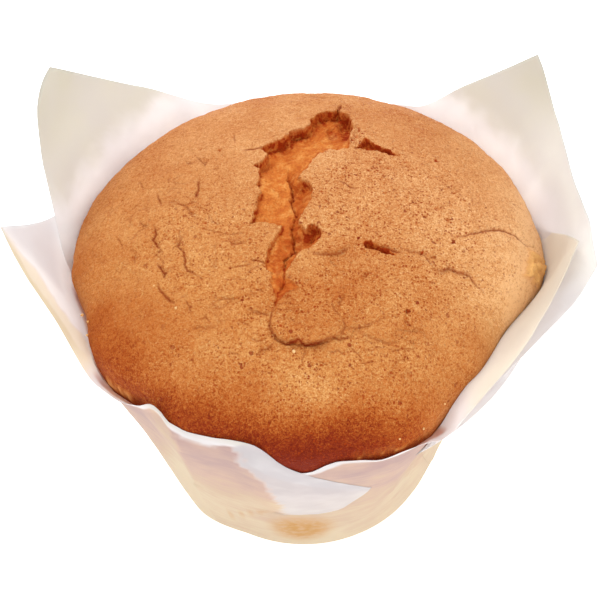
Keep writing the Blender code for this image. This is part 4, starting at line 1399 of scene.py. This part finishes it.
FRONT = Stretch(
    layer=Layer.FRONT,
    foot=(266.0, 336.0),
    corners=(19,),
    edge=(
        (255, 41.4, 53, 0, 1), (263, 42, 53.4, 0, 1), (266.8, 42.6, 52.4, 0, 1), (269.1, 42.7, 51.4, 0, 1),
        (272.1, 42.9, 52.2, 0, 1), (274.8, 43.2, 54.2, 0, 1), (278.5, 43.4, 55.4, 0, 1), (282.6, 43.8, 55.4, 0, 0.9),
        (287.6, 44.3, 54.9, 0, 0.8), (293.8, 44.1, 55.2, 0, 0.6), (296.4, 44.1, 55.2, 0, 0.5),
        (300.5, 44, 54.2, 0, 0.3), (303.7, 43.4, 52.4, 0, 0.2), (306.6, 43.6, 53.2, 0, 0.1), (309.5, 43.8, 55.5, 0, 0),
        (317, 43.8, 58.3, 0, 0), (335.5, 44.6, 61, 0, 0), (343.5, 45.9, 63.5, 0, 0), (347, 47.4, 68, 0, 0),
        (350, 48.7, 73, 0, 0), (360, 46.8, 65, 0, 0), (368, 45.2, 58.5, 0, 0), (372, 44.8, 56, 0, 0),
    ),
)


@dataclass
class Column:
    """One line up the case, from the middle of its base to its edge."""

    azimuth: float
    foot: float
    radius: float
    height: float
    lift: float
    front: float
    layer: Layer = Layer.PLEAT


@dataclass
class PaperCase:
    """The tulip case: one thin sheet with three knife pleats and four petals."""

    form: CakeForm
    finish: ParchmentFinish
    noise: Noise
    thickness: float = 0.06
    clearance: float = 0.12
    spacing: float = 1.25
    lift_share: float = 0.05
    # share of the foot's radius, height
    base_rings: Path = (
        (0, 0.05), (0.25, 0.05), (0.5, 0.05), (0.75, 0.05), (0.86, 0.05), (0.93, 0.1), (0.98, 0.5), (1.01, 1.2),
    )
    # Rows up the wall, close together where the front pleat opens, then evenly to where the paper lets go
    wall_heights: tuple[float, ...] = (
        2.2, 5.0, 9.0, 13.0, 17.0, 20.0, 22.4, 23.4, 24.0, 24.5, 25.0, 25.6, 26.4, 27.4, 28.6, 30.0, 31.6, 33.0, 34.0,
    )
    hold_rows: int = 14
    rim_rows: int = 22
    hold: float = 56.0
    hold_below_rim: float = 2.5
    # azimuth, height at which the left stretch lets go of the cake
    left_hold: Path = ((145.0, 49.0), (195.0, 50.0), (214.0, 56.0), (300.0, 56.0))
    side_pleat: tuple[float, float] = (8.0, 50.0)
    side_growth: float = 0.6
    # height, share by which the front pleat has opened there
    front_opening: Path = ((23.6, 0.0), (24.4, 0.3), (25.2, 0.6), (26.8, 0.76), (30.6, 0.85), (33.7, 0.93), (38.0, 1.0))
    turn_swell: float = 0.5
    turn_steps: int = 6
    layer_middle: tuple[float, float] = (0.8, 1.2)
    # azimuth, height above which the paper has stayed dry
    dry_above: Path = ((160.0, 50.0), (212.0, 50.0), (222.0, 60.0), (300.0, 60.0), (307.0, 48.0), (355.0, 48.0))
    # azimuth and half width of the stretch where the rim is dry further down, and by how much
    dry_rim: tuple[float, float, float] = (243.0, 9.0, 1.6)
    # height, azimuth at which the flap's dry paper begins
    flap_boundary: Path = (
        (24, 262), (29, 262), (34.5, 261), (43.8, 259), (47.9, 257), (49, 254), (53.5, 254), (55, 251), (62, 262),
    )
    # height, azimuth of the crease left of which the wall is yellower
    side_crease: Path = ((0.0, 229.0), (22.3, 231.0), (36.5, 235.0), (51.0, 238.0), (56.8, 236.0))
    # How many millimetres a degree is round the wall, so that folds and spots can be laid out on it
    degree: float = 0.72
    # Creases of the wall: height of the ridge, half width, and line by azimuth and height
    folds: tuple[tuple[float, float, Path], ...] = (
        (-0.45, 1.2, ((259.0, 24.9), (252.0, 20.7), (241.0, 12.9))),
        (0.35, 2.0, ((236.0, 56.8), (238.0, 51.0), (235.0, 36.5), (231.0, 22.3))),
        (-0.30, 1.2, ((283.0, 38.3), (294.0, 34.2))),
        (0.35, 1.3, ((297.0, 34.4), (301.0, 23.3))),
        (0.25, 1.5, ((318.0, 45.0), (312.0, 20.0))),
    )
    # azimuth and height of the yellow spot of fat near the foot, and its half width
    fat_spot: tuple[float, float, float] = (269.0, 14.0, 11.0)
    crinkle_radius: float = 43.0
    # Waves of the sheet: height where the cake holds it, how much more where it is free, width
    crinkles: tuple[tuple[float, float, float], ...] = ((0.06, 0.50, 14.0), (0.05, 0.10, 4.0))
    # How far they may go inwards where the cake holds the sheet and where it is free
    inward: tuple[float, float] = (0.05, 0.3)
    # Heights over which the sheet comes free, and the petals lose their fat
    free_from: tuple[float, float] = (57.0, 70.0)
    petal_from: tuple[float, float] = (54.0, 60.0)
    # Warmth of the fat at the foot, how much it loses up the wall, and what it gains beside the side crease
    foot_warmth: float = 0.95
    warmth_lost: float = 0.78
    crease_warmth: float = 0.4
    fold_fat: float = 0.45
    # Yellow of the right petal beside the cake, and of the left one's rim strip and the band below it
    petal_yellow: tuple[float, float, float] = (0.38, 0.6, 0.45)
    # Cream of the left petal's strip and band, and of the right petal
    petal_cream: tuple[float, float, float] = (0.95, 0.2, 0.3)
    # Painted shade on the back petals behind the cake, on the left one's strip and fold, and on the right one
    petal_painted_shade: tuple[float, float, float, float] = (0.6, 0.2, 0.6, 0.2)

    def build(self) -> bpy.types.Object:
        """Build and dress the case.

        Returns:
            The piece, which stands for the solid of the case.
        """
        columns = self.columns()
        grid = np.array([self.points(column) for column in columns])
        count, rows = grid.shape[0], grid.shape[1]
        bm = bmesh.new()
        bmesh.ops.create_grid(bm, x_segments=count, y_segments=rows - 1, size=1.0)
        order = np.array([(number % (count + 1)) % count for number in range((count + 1) * rows)])
        placed = grid[order, np.repeat(np.arange(rows), count + 1)]
        masks = self.masks(columns, order, placed)
        placed = self.crinkle(placed)
        layers = {mask: bm.verts.layers.float.new(mask.value) for mask in masks}
        for number, vert in enumerate(bm.verts):
            vert.co = placed[number] * MM
            for mask, layer in layers.items():
                vert[layer] = float(masks[mask][number])
        bmesh.ops.remove_doubles(bm, verts=bm.verts[:], dist=0.004 * MM)
        bmesh.ops.recalc_face_normals(bm, faces=bm.faces[:])
        mesh = finished_mesh(bm, "paper_case_sheet")
        piece = make_piece("parchment_case", mesh, self.finish.material())
        sheet = piece.modifiers.new("paper thickness", "SOLIDIFY")
        sheet.thickness = self.thickness * MM
        sheet.offset = 0.0
        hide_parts("paper_case")
        return piece

    def columns(self) -> list[Column]:
        """Lay out the columns.

        Returns:
            All columns, once round, through the three pleats.
        """
        stretches = [self.stretch(part) for part in (BACK, LEFT, FRONT)]
        columns: list[Column] = []
        for number, stretch in enumerate(stretches):
            after = stretches[(number + 1) % len(stretches)][0]
            wrap = 360.0 if number == len(stretches) - 1 else 0.0
            columns += stretch + self.pleat(stretch[-1], after, wrap)
        return columns

    def stretch(self, part: Stretch) -> list[Column]:
        """Lay out the columns between two pleats.

        Args:
            part: The stretch.

        Returns:
            Its columns, with one on every station.
        """
        azimuths = [part.edge[0][0]]
        for start, end in zip(part.edge, part.edge[1:]):
            steps = max(1, round((end[0] - start[0]) / self.spacing))
            azimuths += [mix(start[0], end[0], (k + 1) / steps) for k in range(steps)]
        values = part.at(np.array(azimuths))
        shares = (np.array(azimuths) - azimuths[0]) / (azimuths[-1] - azimuths[0])
        feet = mix(*part.foot, shares)
        return [Column(azimuth, foot, *row, part.layer) for azimuth, foot, row in zip(azimuths, feet, values)]

    def pleat(self, before: Column, after: Column, wrap: float) -> list[Column]:
        """Lay out the columns of a pleat: a fold, the middle layer running back, and a second fold.

        Args:
            before: Last column of the stretch before it.
            after: First column of the stretch after it.
            wrap: A full turn if this pleat closes the ring.

        Returns:
            Its columns.
        """
        end_azimuth = after.azimuth + wrap
        near, far = self.layer_middle if before.lift < after.lift else self.layer_middle[::-1]
        steps = max(2, round((before.azimuth - end_azimuth) / self.spacing))
        middle = [(mix(before.azimuth, end_azimuth, k / steps), mix(near, far, k / steps)) for k in range(1, steps)]
        path = self.fold(before.azimuth, before.lift, near, 1.0)[1:] + middle
        path += self.fold(end_azimuth, far, after.lift, -1.0)[:-1]
        columns = []
        for number, (azimuth, lift) in enumerate(path, start=1):
            share = min(1.0, max(0.0, (before.azimuth - azimuth) / (before.azimuth - end_azimuth)))
            foot = mix(before.foot, after.foot + wrap, number / (len(path) + 1))
            radius, height = mix(before.radius, after.radius, share), mix(before.height, after.height, share)
            columns.append(Column(azimuth, foot, radius, height, lift, before.front))
        return columns

    def fold(self, azimuth: float, low: float, high: float, side: float) -> list[tuple[float, float]]:
        """Round a fold.

        Args:
            azimuth: Where the fold lies.
            low: Lift of the layer before it.
            high: Lift of the layer after it.
            side: 1 where the fold bulges towards higher azimuths, else -1.

        Returns:
            Azimuths and lifts round the fold.
        """
        angles = [math.pi * step / self.turn_steps for step in range(self.turn_steps + 1)]
        return [
            (azimuth + side * self.turn_swell * math.sin(angle), mix(low, high, (1.0 - math.cos(angle)) / 2.0))
            for angle in angles
        ]

    def turned(self, column: Column, height: float) -> float:
        """Azimuth of a column at a height, between that of its foot and that of its edge.

        Args:
            column: The column.
            height: Height above the floor.

        Returns:
            The azimuth.
        """
        start, end = self.side_pleat
        side = min(1.0, max(0.0, (height - start) / (end - start))) ** self.side_growth
        return mix(column.foot, column.azimuth, mix(side, read_off(self.front_opening, height), column.front))

    def wall_radius(self, column: Column, azimuth: float, height: float) -> float:
        """Distance from the cake's middle at which a column clears the cake and the layers below it.

        Args:
            column: The column.
            azimuth: Its azimuth at that height.
            height: Height above the floor.

        Returns:
            The distance.
        """
        start = mix(self.side_pleat[0], self.front_opening[0][0], column.front)
        lift = column.lift * self.lift_share * smooth(1.0, start, height)
        return self.form.side_radius(azimuth, height) + self.clearance + lift

    def points(self, column: Column) -> list[np.ndarray]:
        """Draw a column.

        Args:
            column: The column.

        Returns:
            Its points from the middle of the base outwards and up.
        """
        form = self.form
        hold = read_off(self.left_hold, column.azimuth) if column.layer is Layer.LEFT else self.hold
        hold = min(hold, column.height - self.hold_below_rim)
        foot = form.side_radius(column.foot, 0.0) + self.clearance
        points = [form.place(column.foot, foot * share, height) for share, height in self.base_rings]
        last = self.wall_heights[-1]
        heights = self.wall_heights + tuple(mix(last, hold, k / self.hold_rows) for k in range(1, self.hold_rows + 1))
        for height in heights:
            azimuth = self.turned(column, height)
            points.append(form.place(azimuth, self.wall_radius(column, azimuth, height), height))
        start = points[-1]
        turn = math.radians(column.azimuth)
        radius = column.radius - (1.0 - self.lift_share) * column.lift * column.front
        edge = np.array([radius * math.cos(turn), radius * math.sin(turn), column.height])
        for row in range(1, self.rim_rows + 1):
            x, y, height = mix(start, edge, row / self.rim_rows)
            azimuth = form.azimuth_of(x, y, height)
            nearest = self.wall_radius(column, azimuth, min(height, form.equator))
            points.append(form.place(azimuth, max(np.hypot(x - form.middle_x(height), y), nearest), height))
        return points

    def crinkle(self, placed: np.ndarray) -> np.ndarray:
        """Crinkle the sheet, the same way for layers that lie on each other.

        Args:
            placed: The points of the smooth sheet.

        Returns:
            The points of the crinkled sheet.
        """
        z = placed[:, 2]
        azimuth = self.form.azimuth_of(*placed.T)
        turn = np.radians(azimuth)
        out = np.stack([np.cos(turn), np.sin(turn), 0.0 * turn], axis=1)
        ring = self.crinkle_radius * out + placed * (0.0, 0.0, 1.0)
        free = smooth(*self.free_from, z)
        push = np.zeros(len(z))
        for number, (held, more, width) in enumerate(self.crinkles):
            push += (held + more * free) * self.noise.at(ring + 7.0 * number, width)
        for ridge, half_width, path in self.folds:
            push += ridge * smooth(half_width, 0.0, self.fold_gap(path, azimuth, z))
        push = np.maximum(push * smooth(2.0, 8.0, z), -mix(*self.inward, free))
        return placed + out * push[:, None]

    def fold_gap(self, path: Path, azimuth: np.ndarray, height: np.ndarray) -> np.ndarray:
        """Distance of points of the wall to a line on it, both by azimuth and height."""
        return along_path(tuple((a * self.degree, h) for a, h in path), azimuth * self.degree, height).gap

    def masks(self, columns: list[Column], order: np.ndarray, placed: np.ndarray) -> Masks:
        """Work out where the parchment is soaked or cream, and where shade is painted on it.

        Args:
            columns: The columns.
            order: Number of each point's column.
            placed: The points.

        Returns:
            The masks by name.
        """
        z = placed[:, 2]
        azimuth = self.form.azimuth_of(*placed.T)
        lift, front, edge = np.array([(c.lift, c.front, c.height) for c in columns])[order].T
        back, left, inner = (
            np.array([column.layer is layer for column in columns])[order]
            for layer in (Layer.BACK, Layer.LEFT, Layer.FRONT)
        )
        wave = self.noise.at(placed + 19.0, 3.5, 2)
        below_edge = edge - z

        # Fat has climbed the wall up to a dry rim; the flap over the front pleat stayed dry
        top = read_off(self.dry_above, azimuth)
        centre, half_width, further = self.dry_rim
        rim = further * np.exp(-(((azimuth - centre) / half_width) ** 2))
        soaked = smooth(top + 3.0, top, z + 1.2 * wave) * smooth(0.7, 1.6, below_edge + 0.5 * wave - rim)
        ragged = azimuth - read_off(self.flap_boundary, z) + 2.2 * self.noise.at(placed + 37.0, 4.0, 2)
        flap = smooth(-0.9, 0.9, ragged) * (front > 0.95) * (lift > 1.55) * (z > self.front_opening[0][0])
        soaked = soaked * (1.0 - flap)

        # The foot is the warmest, then the wall left of the side crease; fat gathers in a spot and in a fold
        beside = azimuth - read_off(self.side_crease, z)
        warm = self.foot_warmth - smooth(8.0, 54.0, z) * self.warmth_lost
        warm += self.crease_warmth * smooth(0.5, -0.5, beside) * smooth(-16.0, -3.0, beside)
        azimuth_of_spot, height, radius = self.fat_spot
        spot = Patch(1.0, (azimuth_of_spot * self.degree, height), (radius, radius)).at(azimuth * self.degree, z)
        fold = self.fold_fat * smooth(0.9, 0.1, self.fold_gap(self.folds[0][2], azimuth, z))
        spot = np.maximum(spot * (1.0 - flap), fold)

        # The petals: yellow beside the cake at the right and along the left one's edge, creamier at their tips
        away = below_edge * self.steepness(columns)[order]
        strip, band = smooth(1.6, 1.0, away), smooth(1.0, 1.6, away) * smooth(5.6, 4.4, away)
        far_side = smooth(192.0, 196.0, azimuth)
        petal = smooth(*self.petal_from, z) * (1.0 - soaked)
        signed = (azimuth + 180.0) % 360.0 - 180.0
        turned_edge = left * smooth(51.0, 55.0, z) * far_side * smooth(224.0, 214.0, azimuth)
        beside_cake, on_strip, on_band = self.petal_yellow
        yellow = inner * beside_cake * smooth(54.0, 58.0, z) + turned_edge * (on_strip * strip + on_band * band)
        soaked, warm = np.maximum(soaked, yellow), mix(warm, 1.1, np.minimum(1.0, 4.0 * yellow))
        tips = 0.42 + 0.3 * smooth(20.0, 36.0, np.abs(signed)) + 0.25 * smooth(68.0, 78.0, z)
        tips *= smooth(59.5, 65.0, z + 1.2 * wave) * mix(0.55, 1.0, smooth(2.0, 14.0, np.abs(signed + 8.0)))
        on_strip, on_band, on_right = self.petal_cream
        cream = back * tips + left * petal * (on_strip * strip + on_band * band) * far_side + inner * petal * on_right
        # Painted shade: the shadow of the right petals on the back ones, the left petal's strip and fold, the right
        # petal below its edge, and the flap, darkest high up
        behind = smooth(26.0, 12.0, signed) * smooth(-60.0, -40.0, signed) * smooth(70.0, 62.0, z)
        behind_cake, on_strip, in_fold, on_right = self.petal_painted_shade
        painted_shade = back * behind_cake * behind * smooth(48.0, 54.0, z)
        painted_shade += left * petal * (on_strip * strip * far_side + in_fold * smooth(197.0, 188.0, azimuth))
        painted_shade += inner * petal * on_right * smooth(0.4, 1.0, away) * smooth(62.0, 58.0, z)
        painted_shade = np.maximum(painted_shade, flap * (mix(1.0, 0.6, smooth(45.0, 32.0, z)) + 0.3 * wave))
        return {Mask.GREASE: soaked, Mask.WARM: warm, Mask.PALE: spot, Mask.CREAM: cream, Mask.PAINTED_SHADE: painted_shade}

    @staticmethod
    def steepness(columns: list[Column]) -> np.ndarray:
        """Work out how the way down from the edge shortens to the way across where the edge is steep.

        Args:
            columns: The columns.

        Returns:
            The cosine of the edge's slope at each column.
        """
        run = np.gradient(np.radians([column.azimuth for column in columns])) * [column.radius for column in columns]
        rise = np.gradient([column.height for column in columns])
        slope = np.minimum(np.abs(rise) / np.maximum(np.abs(run), 0.2), 3.0)
        return 1.0 / np.hypot(1.0, slope)


# ----------------------------------------
# Crumbs


@dataclass
class Crumbs:
    """Loose crumbs of the sponge on the crust."""

    form: CakeForm
    finish: CrumbFinish
    seed: int = 3
    height: float = 0.3
    # x, y, radius
    spots: tuple[tuple[float, float, float], ...] = (
        (-1.7, -27.5, 0.3), (-39.6, -11.7, 0.3), (-38.3, -14.1, 0.34), (-38.4, -16.3, 0.26), (-22.3, -17.6, 0.28),
        (-26.3, -12.5, 0.25), (20.6, -36.9, 0.22), (16.4, -39.7, 0.2), (24.4, -31.9, 0.2),
    )

    def build(self) -> bpy.types.Object:
        """Build and dress the crumbs.

        Returns:
            The piece with all the crumbs.
        """
        rng = np.random.default_rng(self.seed)
        form = self.form
        bm = bmesh.new()
        for x, y, radius in self.spots:
            widest = form.side_radius(form.azimuth_of(x, y, form.equator), form.equator)
            height = form.dome(math.hypot(x - form.lean, y) / widest) + self.height
            made = bmesh.ops.create_icosphere(bm, subdivisions=2, radius=radius)["verts"]
            for vert in made:
                vert.co *= rng.uniform(0.75, 1.2)
            bmesh.ops.scale(bm, vec=rng.uniform(0.6, 1.3, 3), verts=made)
            bmesh.ops.translate(bm, verts=made, vec=(x, y, height))
        bmesh.ops.scale(bm, vec=(MM, MM, MM), verts=bm.verts[:])
        return make_piece("loose_crumbs", finished_mesh(bm, "crumbs"), self.finish.material())


# ----------------------------------------
# The studio


@dataclass
class Studio:
    """Pale floor, soft light and the camera."""

    finish: FloorFinish
    # In metres
    floor_size: float = 6.0
    lit_place: tuple[float, float, float] = (0.0, 0.0, 0.05)
    # name, place, size and power of the soft lights, in metres and watts
    lamps: tuple[tuple[str, tuple[float, float, float], float, float], ...] = (
        ("key", (-0.25, 0.45, 0.75), 0.45, 3.0),
        ("fill", (0.30, -0.75, 0.40), 0.7, 2.2),
    )
    sky: float = 1.0
    elevation: float = 50.0
    distance: float = 430.0
    target: tuple[float, float, float] = (0.0, 0.0, 55.0)
    aim: tuple[float, float, float] = (-0.73, -4.2, 51.5)
    focal_pixels: float = 2360.0
    frame_pixels: float = 600.0
    sensor: float = 36.0

    def build(self) -> None:
        """Build the floor, the lights and the camera."""
        self.floor()
        self.lights()
        self.camera()

    def floor(self) -> None:
        """Lay the floor."""
        bm = bmesh.new()
        bmesh.ops.create_grid(bm, x_segments=1, y_segments=1, size=self.floor_size / 2.0)
        floor = add_object("floor", finished_mesh(bm, "floor"))
        floor.data.materials.append(self.finish.material())

    def lights(self) -> None:
        """Hang the soft lights and light the sky."""
        world = bpy.data.worlds.new("studio")
        world.use_nodes = True
        background = world.node_tree.nodes["Background"]
        background.inputs["Color"].default_value = (1.0, 1.0, 1.0, 1.0)
        background.inputs["Strength"].default_value = self.sky
        bpy.context.scene.world = world
        for name, place, size, power in self.lamps:
            light = bpy.data.lights.new(name, "AREA")
            light.size, light.energy = size, power
            lamp = add_object(name, light)
            lamp.location = place
            lamp.rotation_euler = (Vector(self.lit_place) - Vector(place)).to_track_quat("-Z", "Y").to_euler()

    def camera(self) -> None:
        """Set up the camera at the photograph's angle."""
        rise = math.radians(self.elevation)
        place = Vector(self.target) + Vector((0.0, -math.cos(rise), math.sin(rise))) * self.distance
        data = bpy.data.cameras.new("camera")
        data.sensor_width = self.sensor
        data.lens = self.focal_pixels / self.frame_pixels * self.sensor
        camera = add_object("camera", data)
        camera.location = place * MM
        camera.rotation_euler = (Vector(self.aim) - place).to_track_quat("-Z", "Y").to_euler()
        bpy.context.scene.camera = camera
        bpy.context.scene.view_settings.view_transform = "Standard"


def main() -> None:
    """Load the frame and build everything round it."""
    logging.basicConfig(level=logging.INFO, format="%(name)s %(message)s")
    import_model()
    form = CakeForm()
    Studio(FloorFinish()).build()
    parts = (
        Cake(form, CrustFinish(), Noise(11)),
        PaperCase(form, ParchmentFinish(), Noise(23)),
        Crumbs(form, CrumbFinish()),
    )
    for part in parts:
        piece = part.build()
        LOG.info("%s: %d faces", piece.name, len(piece.data.polygons))


if __name__ == "__main__":
    main()
